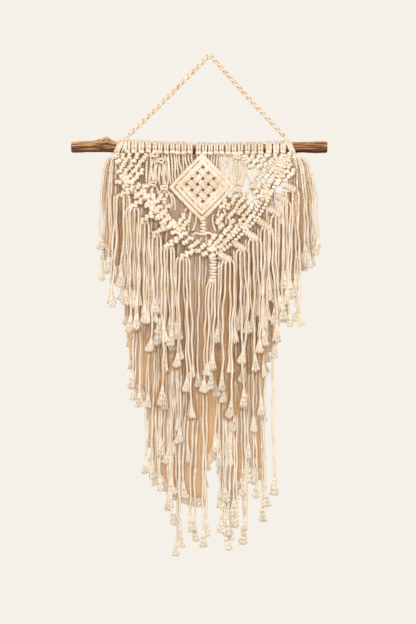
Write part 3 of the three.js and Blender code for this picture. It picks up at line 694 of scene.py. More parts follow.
def build_ground(yarn):
    """Nets of berry knots, each row set half a knot along, on cords that cross between the rows."""
    wide, high = NET["wide"], NET["high"]
    for row in range(NET["rows"]):
        for column in range(NET["columns"]):
            n = 1300 + 37 * row + column
            x = NET["x"] + wide * (column + 0.5 * (row % 2)) + 2.4 * (chance(n) - 0.5)
            z = NET["z"] - row * high + 2.0 * (chance(n + 0.5) - 0.5)
            if not clear_of_all(x, z):
                continue
            y = -8.6 - 1.2 * chance(n + 0.4)
            size = NET["knot"] + 1.2 * (chance(n + 0.7) - 0.5)
            berry(yarn, x, z, size, 90 * (chance(n + 0.2) - 0.5), n, y)
            for side in (-1, 1):
                below = (x + 0.5 * side * wide, z - high)
                if not clear_of_all(*below):
                    continue
                for k in (-1, 1):
                    top = (x + side * 2.5 + 1.5 * k, -6.5, z - 1)
                    halfway = (x + 0.27 * side * wide + 1.7 * k, -8.0, z - 0.5 * high + 0.5 * k * side)
                    foot = (below[0] - side * 2 + 1.5 * k, -6.5, below[1] + 1)
                    yarn.cord([top, halfway, foot], NET["cord"], step=2.6, phase=n + k)


def build_knots():
    """Square knots, the nets of berry knots, two rows of hitches and the wrapped sinnets."""
    yarn = Yarn()
    for i, (x, z, wide, high, tilt) in enumerate(SQUARES):
        a = math.radians(tilt)
        for k in (-1, 1):
            yarn.wrap(x - k * 2.2 * math.sin(a), z + k * 2.2 * math.cos(a), tilt + 5 * k, wide / 2 - 2,
                      depth=4.6, radius=2.2, phase=i + k, lean=1.4 * k)
        for k in (-1, 1):
            yarn.wrap(x + k * wide * 0.34, z - 0.8, 80 * k + tilt, high * 0.42, depth=3.6, radius=1.9,
                      phase=i + 3 * k)
    build_ground(yarn)
    for i, (x0, z0, x1, z1) in enumerate(((101, -155, 72, -184), (97, -178, 80, -200))):
        path = [(x0, z0), ((x0 + x1) / 2, (z0 + z1) / 2 + 1), (x1, z1)]
        hitches(yarn, path, pitch=4.6, half=3.0, depth=3.6, radius=2.2, y=-9.4, lean=1.6, seed=i)
    for x, z, turns, step, slant, half, depth, y in SINNETS:
        for i in range(turns):
            yarn.wrap(x + 0.5 * (i % 2), z - step * i, slant - 2 * slant * (i % 2), half, depth,
                      radius=2.3, y=y, phase=i)
    # The loop across the upper sinnet, and the small one beside the lower.
    yarn.cord([(-28, -7, -279), (-27, -8, -270), (-21, -10, -264.5), (-12, -12, -266.5), (-2, -12, -264),
               (4, -10, -267), (6, -8, -276)], 2.1)
    yarn.cord([(11, -10, -302), (19, -12, -303), (21, -12, -309), (17, -12, -314), (11, -10, -316)], 2.0)
    yarn.piece("knots")


# ------------------------------------------------------------------ the swag and its ribs


def hitches(yarn, path, pitch, half, depth, radius, y, lean=0.0, seed=0, ragged=6):
    """A row of turns side by side along a path, each across it."""
    at = smooth([(x, y, z) for x, z in path], pitch)
    tangent = np.gradient(at, axis=0)
    for i, (p, t) in enumerate(zip(at, tangent)):
        across = math.degrees(math.atan2(t[2], t[0])) + 90 + ragged * (chance(seed + i) - 0.5)
        yarn.wrap(p[0], p[2], across, half, depth, radius, p[1], lean, phase=seed + i)


def beside(path, out):
    """The path moved aside, towards its own left."""
    p = np.array([(x, 0, z) for x, z in path], float)
    t = np.gradient(p, axis=0)
    t /= np.linalg.norm(t, axis=1)[:, None]
    return [(x - out * b, z + out * a) for (x, _, z), (a, _, b) in zip(p, t)]


def build_swag():
    """The swag: berry knots in two rows on the left arm, clove hitches in two rows on the right."""
    yarn = Yarn()
    for row, out in enumerate((-4.8, 4.8)):
        at = smooth([(x, PANEL_Y, z) for x, z in beside(SWAG_LEFT, out)], 11.4)
        for i, (x, _, z) in enumerate(at):
            j = min(i + 1, len(at) - 1)
            shift = 0.5 * row
            x, z = x + shift * (at[j][0] - x), z + shift * (at[j][2] - z)
            size = 11.6 + 0.8 * (chance(i + row) - 0.5)
            tilt = 50 * (chance(5 * i + row) - 0.5) - 30
            berry(yarn, x, z, size, tilt, seed=500 + 40 * row + 5 * i, y=-9.8)
    for row, out in enumerate((-3.9, 3.9)):
        path = beside(SWAG_RIGHT, out)
        path[0] = (path[0][0] - 1.6 * row, path[0][1] - 2.8 * row)
        hitches(yarn, path, pitch=5.8, half=1.5, depth=3.0, radius=2.6, y=-10.2, lean=1.0,
                seed=700 + 60 * row, ragged=40)
    # The cords that the knots are tied on.
    for arm in (SWAG_LEFT, SWAG_RIGHT):
        for out in (-5, 0, 5):
            yarn.cord([(x, -5.0, z) for x, z in beside(arm, out)], 2.2)
    yarn.piece("swag", ["knotted_panel"])


def build_ribs():
    """Short ribs outside the swag: three berry knots each on the left, a row of hitches on the right."""
    yarn = Yarn()
    for side, rows in RIBS.items():
        for i, (x, z, tilt, _) in enumerate(rows):
            turn = math.radians(tilt)
            d = (-side * math.cos(turn), -side * math.sin(turn))
            inner = (x + 10 * d[0], z + 10 * d[1] + 3)
            outer = (x - 6 * d[0], z - 6 * d[1])
            seed = 900 + 50 * side + 7 * i
            if side > 0:
                hitches(yarn, [inner, outer], pitch=4.6, half=3.4, depth=3.6, radius=2.7, y=-12.5, lean=1.8,
                        seed=seed, ragged=14)
                continue
            for k, share in enumerate((-0.05, 0.42, 0.9)):
                at = [a + share * (b - a) for a, b in zip(inner, outer)]
                berry(yarn, *at, size=11.8, tilt=tilt + 70 * (chance(seed + k) - 0.5), seed=seed + k, y=-13.0)
    yarn.piece("ribs")


# ------------------------------------------------------------------ the diamond


# The woven middle: where it is in the diamond, the step between its pairs, how far each cord of a pair
# lies from their line, and its radius.
WEAVE = dict(u=-4.0, v=-2.0, cell=11.5, apart=1.65, cord=2.6)


def diamond_point(u, v, y=PANEL_Y):
    """u runs down to the left and v down to the right, from the diamond's middle."""
    h = math.sqrt(0.5)
    return (DIAMOND["x"] + (v - u) * h, y, DIAMOND["z"] - (u + v) * h * DIAMOND["tall"])


def build_diamond():
    """Thick laid ropes of hitches round a middle woven of pairs of cords."""
    yarn = Yarn()
    edge, rope = DIAMOND["edge"], DIAMOND["rope"]
    for sign_u, sign_v, count in ((-1, 0, 2), (0, -1, 2), (1, 0, 3), (0, 1, 3)):
        for k in range(count):
            out = edge - rope * (k + 0.5)
            reach = edge - rope * (k + 0.25)
            path = []
            for j in range(9):
                t = reach * (j / 4 - 1)
                o = out - 1.2 * abs(t / reach) ** 4
                u, v = (sign_u * o, t) if sign_u else (t, sign_v * o)
                path.append(diamond_point(u, v, -11.2 + 1.2 * abs(t / reach) ** 4 + 0.5 * k))
            at = smooth(path, 1.3)
            swell = 1 + 0.03 * np.sin(np.arange(len(at)) * 1.3 / 4.6 * 2 * math.pi)
            yarn.tube(at, rope * 0.5 * swell, sides=18, twist=1 / 13.5, lobe=0.10, phase=k + sign_u)
    cell = WEAVE["cell"]
    for across in (0, 1):
        for line in range(-2, 3):
            for pair in (-1, 1):
                path = []
                for k in range(-10, 11):
                    wave = math.cos(math.pi * (k * cell / 4) / cell + math.pi * (line + across))
                    fixed, along = line * cell + pair * WEAVE["apart"], k * cell / 4
                    u, v = (along, fixed) if across else (fixed, along)
                    path.append(diamond_point(WEAVE["u"] + u, WEAVE["v"] + v, -9.4 - 2.3 * wave))
                yarn.cord(path, WEAVE["cord"], step=2.4, phase=line + pair, lobe=0.04, sides=10)
    yarn.piece("woven_diamond")


# ------------------------------------------------------------------ the cords between knots

# Pairs of cords from (x, z) to (x, z), and how far the two bow apart.
PAIRS = (
    (-86, -151, -82, -186, 1), (-80, -151, -88, -187, 2), (-78, -160, -80, -187, 2),
    (-71, -160, -72, -193, 2), (-90, -146, -92, -190, 1), (-66, -150, -65, -193, 2),
    (-88, -194, -92, -212, 3), (-83, -194, -80, -224, 4), (-70, -200, -72, -222, 4),
    (-66, -200, -60, -230, 4), (-60, -204, -54, -232, 3),
    (45, -160, 42, -195, 2), (50, -163, 46, -195, 3), (58, -163, 66, -191, 4), (66, -150, 70, -186, 2),
    (39, -203, 38, -226, 3), (45, -203, 50, -226, 4), (64, -198, 60, -218, 4), (69, -198, 74, -214, 4),
    (-9, -270, -9, -286, 3), (-24, -232, -28, -262, 4), (-32, -226, -34, -254, 3), (8, -236, 12, -262, 4),
    (18, -228, 22, -252, 4),
)


def build_cords():
    """Cords that run from the lark's heads to the diamond and between the knots."""
    yarn = Yarn()
    peak = DIAMOND["z"] + (DIAMOND["edge"] - 2) * math.sqrt(2)
    for i, head in enumerate(HEADS[5:19]):
        for k in (-1, 1):
            x = head + 2.2 * k
            start = rod_middle(x) - 7
            lean = 0.10 * (DIAMOND["x"] - x)
            low = max(-190, min(start - 6, peak - abs(x + lean - DIAMOND["x"])))
            sag = 2.4 * (chance(3 * i + k) - 0.5)
            y = -8.6 if k > 0 else -6.2
            yarn.cord([(x, -8, start), (x + 0.2 * lean + sag, y, 0.6 * start + 0.4 * low),
                       (x + 0.7 * lean - sag, y, 0.2 * start + 0.8 * low), (x + lean, y, low - 3)],
                      1.8, phase=i + k)
    for i, (x0, z0, x1, z1, bow) in enumerate(PAIRS):
        for k in (-1, 1):
            a, b = x0 + 2.2 * k, x1 + 2.2 * k
            y = -8.4 + 1.2 * chance(i + k)
            swing = k * bow * (0.6 + 0.5 * chance(2 * i + k))
            yarn.cord([(a, -8, z0), (a + 0.25 * (b - a) + swing, y, z0 + 0.28 * (z1 - z0)),
                       (a + 0.72 * (b - a) + swing * 0.8, y, z0 + 0.72 * (z1 - z0)), (b, -8, z1)],
                      1.9, phase=i + k)
    yarn.piece("panel_cords")


# ------------------------------------------------------------------ fringe


def sway(x, z, n):
    return (3.2 * math.sin(z / 47 + x / 31) + 1.8 * math.sin(z / 23 + x / 19 + 1.3)
            + 0.8 * math.sin(z / 17 + 2.4 * n))


def fall(yarn, start, x, lane, tip, n, turn=20.0, wave=1.0):
    """One strand: from its root it turns into its lane, hangs to its tip and ends in a brush of fibres."""
    look = bpy.context.scene.macrame_cord
    size = 0.75 + 0.5 * chance(3.3 * n)
    points = list(start)
    x0, y0, z0 = points[-1]
    end = tip[1] + 0.9 * size * look.tuft / MM
    span = z0 - end
    a, b, c, d = (chance(k * n + k) for k in (1.7, 2.9, 4.3, 5.9))
    z = z0 - 5
    while z > end - 3:
        gone = z0 - z
        aside, free, lean = ease(gone / turn), ease(gone / 50), (gone / span) ** 1.3
        kink = 0.8 * math.sin(z / (6 + 4 * a) + 6.3 * b) + 0.9 * math.sin(z / (19 + 9 * c) + 6.3 * d)
        bend = wave * free * (0.22 * sway(x, z, n) + kink)
        points.append((x0 + (x - x0) * aside + (tip[0] - x) * lean + bend,
                       y0 + (lane - y0) * aside + 1.0 * free * math.sin(z / 31 + 6 * a), z))
        z -= 6.0
    path = yarn.cord(points, step=3.1, phase=2.3 * n)
    yarn.fray(path[-1], path[-1] - path[-3], n + 0.37, size)
    return path


def overhand(yarn, at, n):
    """A knot tied in one strand."""
    x, y, z = at
    for k in range(3):
        yarn.wrap(x, z - 2.2 * k, across=25 - 45 * (k % 2), half=1.6, depth=3.0, radius=1.8, y=y, phase=n + k)


def build_front_fringe():
    """The front fringe: the strands that arch over the ribs and fall, and shorter ones close behind."""
    for side, rows in RIBS.items():
        yarn = Yarn()
        n = 0
        for x, z, _, hems in rows:
            foot = (x + side * 2.5, z - 3.5)
            for k, hem in enumerate(hems):
                seed = n + (200 if side > 0 else 0)
                n += 1
                dx = 19.0 * (k / (len(hems) - 1) - 0.5) + 1.6 * (chance(7 * seed) - 0.5)
                at = foot[0] + dx
                lane = LANES["front"][k % 2] + 0.8 * chance(seed)
                root = [(foot[0] + 0.3 * dx, -11, foot[1] - 2),
                        (foot[0] + 0.75 * dx, -14, foot[1] - 1 + 0.2 * abs(dx)), (at, lane, foot[1] - 6)]
                fall(yarn, root, at, lane, (at + 14 * (chance(3 * seed) - 0.5), hem), seed)
                if hem < FRONT_PAIR["lowest"]:
                    continue
                behind = at + (FRONT_PAIR["aside"] if k % 2 else -FRONT_PAIR["aside"])
                tip = (behind + 12 * (chance(5 * seed) - 0.5), hem + 4 + 14 * chance(9 * seed))
                fall(yarn, [(behind, -8.5, foot[1])], behind, FRONT_PAIR["lane"], tip, seed + 90)
        word = "left" if side < 0 else "right"
        yarn.piece(f"front_fringe_{word}", [f for f in FRONT if word in f])
    yarn = Yarn()
    for k in range(CENTRE["strands"]):
        off = k - (CENTRE["strands"] - 1) / 2
        root = [(CENTRE["x"] + 2.4 * off, -9.5, CENTRE["z"] - CENTRE["high"] / 2 + 2)]
        x = CENTRE["x"] + 4.6 * off - 3
        fall(yarn, root, x, LANES["front"][k % 2], (x - 3, CENTRE["hem"] + 60 * chance(900 + k)), 900 + k)
    yarn.piece("front_fringe_middle", ["front_fringe_centre"])


def back_cord(yarn, x, top, hem, y, n):
    """A plain cord at the back, from its root down to hem, with a short frayed end."""
    points = [(x, 5.0, top), (x, y - 1, top - 9)]
    points += [(x + 0.8 * math.sin(z / 41 + n), y, z) for z in np.arange(top - 24, hem + 22, -24)]
    path = smooth(points + [(x, y, hem + 10)], 7.5)
    yarn.tube(path, np.full(len(path), BACK_ROW["radius"]), sides=8, phase=n)
    yarn.fray(path[-1], path[-1] - path[-3], seed=800.3 + n, size=0.6)


def has_pair(x):
    """Whether a long strand with its tip at x has another beside it."""
    clear = all(abs(x - gap) > LONG_PAIR["room"] for gap in LONG_PAIR["gaps"])
    return clear and abs(x) < LONG_PAIR["widest"]


def build_layer(name, nodes):
    """A layer of fringe behind the swag. In the long layer most strands have another beside them."""
    row = LAYERS[name]
    yarn = Yarn()
    for i, tip in enumerate(TIPS[name]):
        n = row["seed"] + i
        x = max(-row["half"], min(row["half"], tip[0] + 20 * (chance(n) - 0.5)))
        path = fall(yarn, [(x, row["y"], swag_height(x) + 3)], x, LANES[name][i % 2], tip, n, wave=0.75)
        if name == "long" and has_pair(tip[0]):
            near = x + (LONG_PAIR["aside"] if chance(n + 0.4) > 0.5 else -LONG_PAIR["aside"])
            lane = LANES[name][(i + 1) % 2] - LONG_PAIR["forward"]
            end = (tip[0] + 0.8 * (near - x), tip[1] + 6 + 16 * chance(n + 0.6))
            fall(yarn, [(near, row["y"], swag_height(near) + 3)], near, lane, end, n + 40, wave=0.75)
        if i % 7 == 4:
            overhand(yarn, path[int(len(path) * 0.8)], n)
    yarn.piece(f"{name}_fringe_strands", nodes)


def build_back_row():
    """The row of plain cords at the very back, from the rod or the swag down to an uneven hem."""
    yarn = Yarn()
    x, i = BACK_HEM[0][0], 0
    while x < BACK_HEM[-1][0]:
        hem = float(np.interp(x, [r[0] for r in BACK_HEM], [r[1] for r in BACK_HEM]))
        top = [t for start, t in BACK_TOP if x >= start][-1]
        if top == AT_ROD:
            top = rod_middle(x) - 5
        elif top == AT_SWAG:
            top = swag_height(x) - 1
        back_cord(yarn, x, top, hem, BACK_ROW["y"] + BACK_ROW["ragged"] * (i % 2), i)
        x += BACK_ROW["pitch"]
        i += 1
    yarn.piece("back_row_cords")


def build_side_fringe():
    """The bundles at the rod's two ends, gathered by a turn of cord and swinging outward."""
    for side, x, out, word in SIDES:
        yarn = Yarn()
        low = rod_middle(x) - rod_radius(x)
        for k in (-1, 0, 1):
            at = x - side * 5.2 + 2.9 * k
            r = rod_radius(at) + 2.1
            z = rod_middle(at)
            yarn.cord([(at - side * 4.5 * math.cos(math.radians(a)), -r * math.sin(math.radians(a)),
                        z + r * math.cos(math.radians(a))) for a in range(-170, 181, 25)], 1.9, phase=k)
        for k in range(2):
            yarn.wrap(x - side * 1.5, low - 3 - 4.1 * k, across=12 - 24 * (k % 2), half=4.2, depth=4.4,
                      radius=2.0, y=-4, phase=k)
        tips = TIPS[word]
        for i, tip in enumerate(tips):
            n = 600 + (50 if side > 0 else 0) + i
            share = 1 - i / (len(tips) - 1)
            outward = side * (-6 + (out + 6) * share)
            root = (x + side * 3 * (share - 0.5), -5 + 3 * (i % 3 - 1), low - 4)
            lane = LANES["side"][i % 3] - 4 * (i % 4 == 0)
            points = [root]
            for z in (5, 12, 22, 34):
                part = min(1.0, z / 46)
                points.append((root[0] + outward * math.sqrt(part * (2 - part)) * 0.9,
                               root[1] + (lane - root[1]) * ease(part * 1.4), root[2] - z))
            fall(yarn, points, root[0] + outward, lane, tip, n, turn=30)
        for i in range(SIDE_BACK["cords"]):
            share = i / (SIDE_BACK["cords"] - 1)
            at = x + side * (-6 + (out + 2) * share)
            top = low - 12 - 40 * max(0.0, share - 0.25) ** 1.6
            hem = SIDE_BACK["hem"] - 20 * (1 - share) + 14 * chance(i)
            back_cord(yarn, at, top, hem, SIDE_BACK["y"], 700 + i)
        yarn.piece(f"side_fringe_{word}_strands", [f"side_fringe_{word}"])


# The map of how far forward the cotton reaches: its corner, cells each way and their size. A cord shades
# what is within reach cells of it, by up to fade mm less towards the rim.
MAP = dict(left=-230, low=-780, wide=310, high=540, cell=1.5, reach=5, fade=30.0)
# Painted shade: cotton starts to be painted tan this deep, in mm, is all tan that much deeper, and by which
# curve.
PAINTED_TAN = dict(least=1.3, span=15.0, curve=0.82)
# From this depth on lies the last row, over so many mm. It is tan all over, less so where it is in shade.
LAST = dict(y=6.0, over=1.5, tan=0.82, shade=0.3)


def mark_painted_shade():
    """Marks each point of the cotton with how far it lies behind the cords round it, from 0 to 1, as its
    share of painted shade.
    """
    cell, reach = MAP["cell"], MAP["reach"]
    spots = []
    for made in COTTON:
        count = len(made.data.vertices)
        at, facing = np.empty(count * 3, np.float32), np.empty(count * 3, np.float32)
        made.data.vertices.foreach_get("co", at)
        made.data.vertex_normals.foreach_get("vector", facing)
        at = at.reshape(-1, 3) / MM
        index = np.stack([(at[:, 0] - MAP["left"]) / cell, (at[:, 2] - MAP["low"]) / cell], 1).astype(int)
        spots.append((at, facing.reshape(-1, 3)[:, 1], index))
    seen_from_front = []
    for sign in (1, -1):
        first = np.full((MAP["wide"], MAP["high"]), 1e3)
        for at, _, index in spots:
            np.minimum.at(first, (index[:, 0], index[:, 1]), sign * at[:, 1])
        near = first.copy()
        for i in range(-reach, reach + 1):
            for j in range(-reach, reach + 1):
                away = cell * math.hypot(i, j)
                if away <= cell * reach:
                    lift = MAP["fade"] * (away / (cell * reach)) ** 2
                    near = np.minimum(near, np.roll(first, (i, j), (0, 1)) + lift)
        for k, (at, facing, index) in enumerate(spots):
            behind = sign * at[:, 1] - near[index[:, 0], index[:, 1]]
            if sign > 0:
                seen_from_front.append(behind)
                continue
            turned = np.clip(facing / 0.8 + 0.5, 0, 1)
            front, back = (np.clip((deep - PAINTED_TAN["least"]) / PAINTED_TAN["span"], 0, 1) ** PAINTED_TAN["curve"]
                           for deep in (seen_from_front[k], behind))
            last = np.clip((at[:, 1] - LAST["y"]) / LAST["over"], 0, 1)
            front = front * (1 - last) + (LAST["tan"] - LAST["shade"] * front) * last
            # The share of painted shade, kept in the "depth" attribute.
            mark = COTTON[k].data.attributes.new("depth", "FLOAT", "POINT")
            mark.data.foreach_set("value", (front * (1 - turned) + back * turned).astype(np.float32))


# ------------------------------------------------------------------ the stage


# The lamps: name, place and width in metres, which setting gives the power, and the colour.
LAMPS = (
    ("key", (-0.9, -2.3, 1.7), 0.9, "key", (1.0, 0.98, 0.95)),
    ("front", (0.1, -3.1, -0.2), 0.7, "front", (1.0, 0.98, 0.95)),
    ("fill", (1.8, -2.4, -0.5), 2.2, "fill", (1.0, 0.98, 0.96)),
    ("back", (0.6, 2.4, 0.6), 2.0, "fill", (1.0, 0.98, 0.96)),
)
# What the lamps point at, and the camera's place across and up, in metres.
AIM = (0, 0, -0.35)
CAMERA = dict(x=-0.00225, z=-0.3825, sensor=24)


def stage_object(name, mesh, material):
    data = bpy.data.meshes.new(name)
    mesh.to_mesh(data)
    mesh.free()
    data.materials.append(material)
    made = bpy.data.objects.new(name, data)
    bpy.context.scene.collection.objects.link(made)
    return made


def build_stage():
    """A pale wall well behind, a pale floor, light from the upper left and the front, and the camera."""
    look = bpy.context.scene.macrame_stage
    scene = bpy.context.scene
    mesh = bmesh.new()
    bmesh.ops.create_grid(mesh, x_segments=1, y_segments=1, size=look.wall_half)
    upright = Vector((0, 0, 1)).rotation_difference(Vector((0, -1, 0))).to_matrix()
    bmesh.ops.rotate(mesh, verts=mesh.verts, cent=(0, 0, 0), matrix=upright)
    bmesh.ops.translate(mesh, verts=mesh.verts, vec=(0, look.wall_gap, 0))
    wall_paint, tree, shader = new_material("wall_paint")
    shader.inputs["Base Color"].default_value = linear(look.wall_base_hex)
    shader.inputs["Roughness"].default_value = 0.95
    shader.inputs["Specular IOR Level"].default_value = 0.0
    shader.inputs["Emission Color"].default_value = linear(look.wall_hex)
    shader.inputs["Emission Strength"].default_value = look.wall_glow
    # From behind, the wall is clear, so that the back of the hanging can be seen.
    facing = add_node(tree, "ShaderNodeNewGeometry")
    clear = add_node(tree, "ShaderNodeBsdfTransparent")
    mix = add_node(tree, "ShaderNodeMixShader", [("Fac", facing, "Backfacing")])
    tree.links.new(shader.outputs[0], mix.inputs[1])
    tree.links.new(clear.outputs[0], mix.inputs[2])
    tree.links.new(mix.outputs[0], tree.nodes["Material Output"].inputs["Surface"])
    stage_object("wall", mesh, wall_paint)

    mesh = bmesh.new()
    bmesh.ops.create_grid(mesh, x_segments=1, y_segments=1, size=look.wall_half)
    bmesh.ops.translate(mesh, verts=mesh.verts, vec=(0, 0, -look.floor_drop))
    stage_object("floor", mesh, plain_finish("floor_paint", look.floor_hex, 0.9))

    for name, place, size, power, tint in LAMPS:
        lamp = bpy.data.lights.new(name, "AREA")
        lamp.shape = "DISK"
        lamp.size = size
        lamp.energy = getattr(look, power)
        lamp.color = tint
        made = bpy.data.objects.new(name, lamp)
        made.location = place
        made.rotation_euler = (Vector(AIM) - Vector(place)).to_track_quat("-Z", "Y").to_euler()
        scene.collection.objects.link(made)

    world = bpy.data.worlds.new("studio")
    world.use_nodes = True
    back = world.node_tree.nodes["Background"]
    back.inputs["Color"].default_value = linear(look.ambient_hex)
    back.inputs["Strength"].default_value = look.ambient
    scene.world = world

    lens = bpy.data.cameras.new("camera")
    lens.sensor_fit = "VERTICAL"
    lens.sensor_height = CAMERA["sensor"]
    lens.lens = CAMERA["sensor"] * look.distance / look.frame_height
    lens.clip_end = 50
    camera = bpy.data.objects.new("camera", lens)
    camera.location = (CAMERA["x"], -look.distance, CAMERA["z"])
    camera.rotation_euler = (math.radians(90), 0, 0)
    scene.collection.objects.link(camera)
    scene.camera = camera
    scene.view_settings.view_transform = "Standard"


# ------------------------------------------------------------------ settings, operators and panel


class MacrameCord(bpy.types.PropertyGroup):
    """The cotton cord."""
    diameter: bpy.props.FloatProperty(name="Diameter", description="Thickness of the cord", default=0.0040,
                                      unit="LENGTH")
    lay: bpy.props.FloatProperty(name="Lay", description="Length of one turn of the plies", default=0.016,
                                 unit="LENGTH")
    tuft: bpy.props.FloatProperty(name="Tuft", description="Length of the combed-out end of a strand",
                                  default=0.0225, unit="LENGTH")
    flare: bpy.props.FloatProperty(name="Flare", description="How many times its width a brush spreads",
                                   default=4.0)
    hollow: bpy.props.FloatProperty(name="Hollows", default=0.35,
                                    description="How much the hollows between the plies are shaded")
    fibres: bpy.props.IntProperty(name="Fibres", description="Locks of fibres in each brush", default=13)
    base_hex: bpy.props.StringProperty(name="Colour", description="Cotton, as sRGB hex", default="#f1e8da")
    light_hex: bpy.props.StringProperty(name="Light colour", description="Palest cotton", default="#faf5ec")
    shade_hex: bpy.props.StringProperty(name="Shade colour", description="Darkest cotton", default="#e9dcc6")
    # Painted shade: the tan painted where cotton lies behind other cords, in the hollows between the plies,
    # and between the hanger's two cords.
    painted_shade_hex: bpy.props.StringProperty(name="Deep colour", description="Cotton deep behind other cords",
                                       default="#cda06c")


class MacrameRod(bpy.types.PropertyGroup):
    """The driftwood rod."""
    crack: bpy.props.FloatProperty(name="Cracks", description="Depth of the long cracks", default=0.0012,
                                   unit="LENGTH")
    base_hex: bpy.props.StringProperty(name="Colour", description="Wood, as sRGB hex", default="#cfa57a")
    light_hex: bpy.props.StringProperty(name="Light colour", description="Worn wood", default="#ffe6c4")
    dark_hex: bpy.props.StringProperty(name="Dark colour", description="Wood in the cracks",
                                       default="#6b431f")


class MacrameStage(bpy.types.PropertyGroup):
    """The studio round the hanging."""
    wall_gap: bpy.props.FloatProperty(name="Wall", description="How far the wall is behind the rod's middle",
                                      default=1.5, unit="LENGTH")
    distance: bpy.props.FloatProperty(name="Camera distance", description="From the camera to the hanging",
                                      default=3.2, unit="LENGTH")
    frame_height: bpy.props.FloatProperty(name="Frame height", description="Height that the camera takes in",
                                          default=0.936, unit="LENGTH")
    key: bpy.props.FloatProperty(name="Key light", description="Power of the light at the upper left",
                                 default=33.0, unit="POWER")
    front: bpy.props.FloatProperty(name="Front light", description="Power of the light beside the camera",
                                   default=38.0, unit="POWER")
    fill: bpy.props.FloatProperty(name="Fill light", default=12.0, unit="POWER",
                                  description="Power of the lights at the right and behind")
    ambient: bpy.props.FloatProperty(name="Ambient", default=0.56,
                                     description="Strength of the light all round")
    ambient_hex: bpy.props.StringProperty(name="Ambient colour", description="Light all round, as sRGB hex",
                                          default="#ffedd6")
    wall_half: bpy.props.FloatProperty(name="Wall size", default=4.0, unit="LENGTH",
                                       description="Half the width of the wall and of the floor")
    wall_glow: bpy.props.FloatProperty(name="Wall glow", default=0.985,
                                       description="Evens out the light on the wall")
    wall_hex: bpy.props.StringProperty(name="Wall colour", default="#f5f0e8",
                                       description="What the wall glows in, as sRGB hex")
    wall_base_hex: bpy.props.StringProperty(name="Wall paint", default="#2b2a28",
                                            description="The wall under its glow, as sRGB hex")
    floor_drop: bpy.props.FloatProperty(name="Floor", default=1.25, unit="LENGTH",
                                        description="How far the floor is below the nail")
    floor_hex: bpy.props.StringProperty(name="Floor colour", default="#cfcac2",
                                        description="Floor, as sRGB hex")


class MACRAME_OT_stage(bpy.types.Operator):
    """Adds the wall, floor, lights and camera"""
    bl_idname = "macrame.stage"
    bl_label = "Studio"

    def execute(self, context):
        build_stage()
        return {"FINISHED"}


class MACRAME_OT_rod(bpy.types.Operator):
    """Builds the driftwood rod"""
    bl_idname = "macrame.rod"
    bl_label = "Driftwood rod"

    def execute(self, context):
        build_rod()
        return {"FINISHED"}


class MACRAME_OT_hanger(bpy.types.Operator):
    """Builds the two twisted cords that the rod hangs by"""
    bl_idname = "macrame.hanger"
    bl_label = "Twisted hanger"

    def execute(self, context):
        build_hanger()
        return {"FINISHED"}


class MACRAME_OT_heads(bpy.types.Operator):
    """Builds the mounting loops on the rod"""
    bl_idname = "macrame.heads"
    bl_label = "Lark's heads"

    def execute(self, context):
        build_heads()
        return {"FINISHED"}


class MACRAME_OT_cords(bpy.types.Operator):
    """Builds the cords between the knots"""
    bl_idname = "macrame.cords"
    bl_label = "Panel cords"

    def execute(self, context):
        build_cords()
        return {"FINISHED"}


class MACRAME_OT_knots(bpy.types.Operator):
    """Builds the square and berry knots"""
    bl_idname = "macrame.knots"
    bl_label = "Knots"

    def execute(self, context):
        build_knots()
        return {"FINISHED"}


class MACRAME_OT_diamond(bpy.types.Operator):
    """Builds the diamond and its woven middle"""
    bl_idname = "macrame.diamond"
    bl_label = "Woven diamond"

    def execute(self, context):
        build_diamond()
        return {"FINISHED"}


class MACRAME_OT_swag(bpy.types.Operator):
    """Builds the swag of hitches and berry knots"""
    bl_idname = "macrame.swag"
    bl_label = "Swag"

    def execute(self, context):
        build_swag()
        return {"FINISHED"}


class MACRAME_OT_ribs(bpy.types.Operator):
    """Builds the short ribs outside the swag"""
    bl_idname = "macrame.ribs"
    bl_label = "Ribs"

    def execute(self, context):
        build_ribs()
        return {"FINISHED"}


class MACRAME_OT_front_fringe(bpy.types.Operator):
    """Builds the strands that fall from the ribs"""
    bl_idname = "macrame.front_fringe"
    bl_label = "Front fringe"

    def execute(self, context):
        build_front_fringe()
        return {"FINISHED"}


class MACRAME_OT_middle_fringe(bpy.types.Operator):
    """Builds the layer of fringe behind the swag"""
    bl_idname = "macrame.middle_fringe"
    bl_label = "Middle fringe"

    def execute(self, context):
        build_layer("middle", ["middle_fringe"])
        return {"FINISHED"}


class MACRAME_OT_long_fringe(bpy.types.Operator):
    """Builds the longest layer of fringe, behind the middle one"""
    bl_idname = "macrame.long_fringe"
    bl_label = "Long fringe"

    def execute(self, context):
        build_layer("long", ["long_fringe"])
        return {"FINISHED"}


class MACRAME_OT_back_row(bpy.types.Operator):
    """Builds the plain cords behind all the others"""
    bl_idname = "macrame.back_row"
    bl_label = "Back row"

    def execute(self, context):
        build_back_row()
        return {"FINISHED"}


class MACRAME_OT_side_fringe(bpy.types.Operator):
    """Builds the bundles at both ends of the rod"""
    bl_idname = "macrame.side_fringe"
    bl_label = "Side fringe"

    def execute(self, context):
        build_side_fringe()
        return {"FINISHED"}


class MACRAME_OT_painted_shade(bpy.types.Operator):
    """Marks how deep each cord lies, for the painted shade in its colour"""
    bl_idname = "macrame.depth"
    bl_label = "Depth of the cotton"

    def execute(self, context):
        mark_painted_shade()
        return {"FINISHED"}


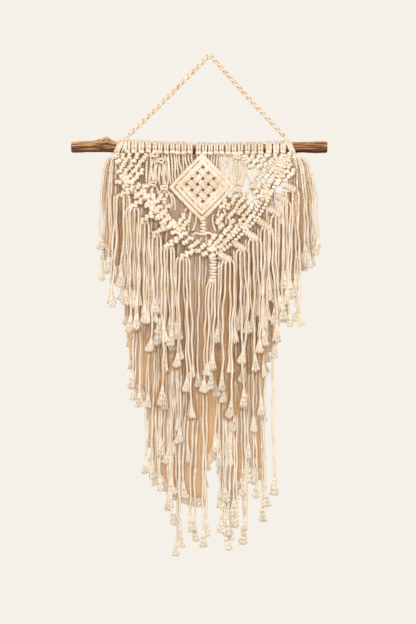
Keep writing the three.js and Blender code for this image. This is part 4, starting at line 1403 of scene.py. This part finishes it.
OPERATORS = (
    MACRAME_OT_stage, MACRAME_OT_rod, MACRAME_OT_hanger, MACRAME_OT_heads, MACRAME_OT_cords,
    MACRAME_OT_knots, MACRAME_OT_diamond, MACRAME_OT_swag, MACRAME_OT_ribs, MACRAME_OT_front_fringe,
    MACRAME_OT_middle_fringe, MACRAME_OT_long_fringe, MACRAME_OT_back_row, MACRAME_OT_side_fringe,
    MACRAME_OT_painted_shade,
)


class MACRAME_PT_panel(bpy.types.Panel):
    """Lists the pieces of the hanging."""
    bl_idname = "MACRAME_PT_panel"
    bl_label = "Macrame wall hanging"
    bl_space_type = "VIEW_3D"
    bl_region_type = "UI"
    bl_category = "Macrame"

    def draw(self, context):
        for name in ("macrame_cord", "macrame_rod", "macrame_stage"):
            group = getattr(context.scene, name)
            box = self.layout.box()
            for key in group.bl_rna.properties.keys():
                if key not in ("rna_type", "name"):
                    box.prop(group, key)
        for kind in OPERATORS:
            self.layout.operator(kind.bl_idname)


GROUPS = {"macrame_cord": MacrameCord, "macrame_rod": MacrameRod, "macrame_stage": MacrameStage}


def register():
    for kind in (*GROUPS.values(), *OPERATORS, MACRAME_PT_panel):
        bpy.utils.register_class(kind)
    for name, group in GROUPS.items():
        setattr(bpy.types.Scene, name, bpy.props.PointerProperty(type=group))


def unregister():
    for name in GROUPS:
        delattr(bpy.types.Scene, name)
    for kind in reversed((*GROUPS.values(), *OPERATORS, MACRAME_PT_panel)):
        bpy.utils.unregister_class(kind)


def main():
    register()
    bpy.ops.macrame.stage()
    bpy.ops.macrame.rod()
    bpy.ops.macrame.hanger()
    bpy.ops.macrame.heads()
    bpy.ops.macrame.cords()
    bpy.ops.macrame.knots()
    bpy.ops.macrame.diamond()
    bpy.ops.macrame.swag()
    bpy.ops.macrame.ribs()
    bpy.ops.macrame.front_fringe()
    bpy.ops.macrame.middle_fringe()
    bpy.ops.macrame.long_fringe()
    bpy.ops.macrame.back_row()
    bpy.ops.macrame.side_fringe()
    bpy.ops.macrame.depth()


if __name__ == "__main__":
    main()
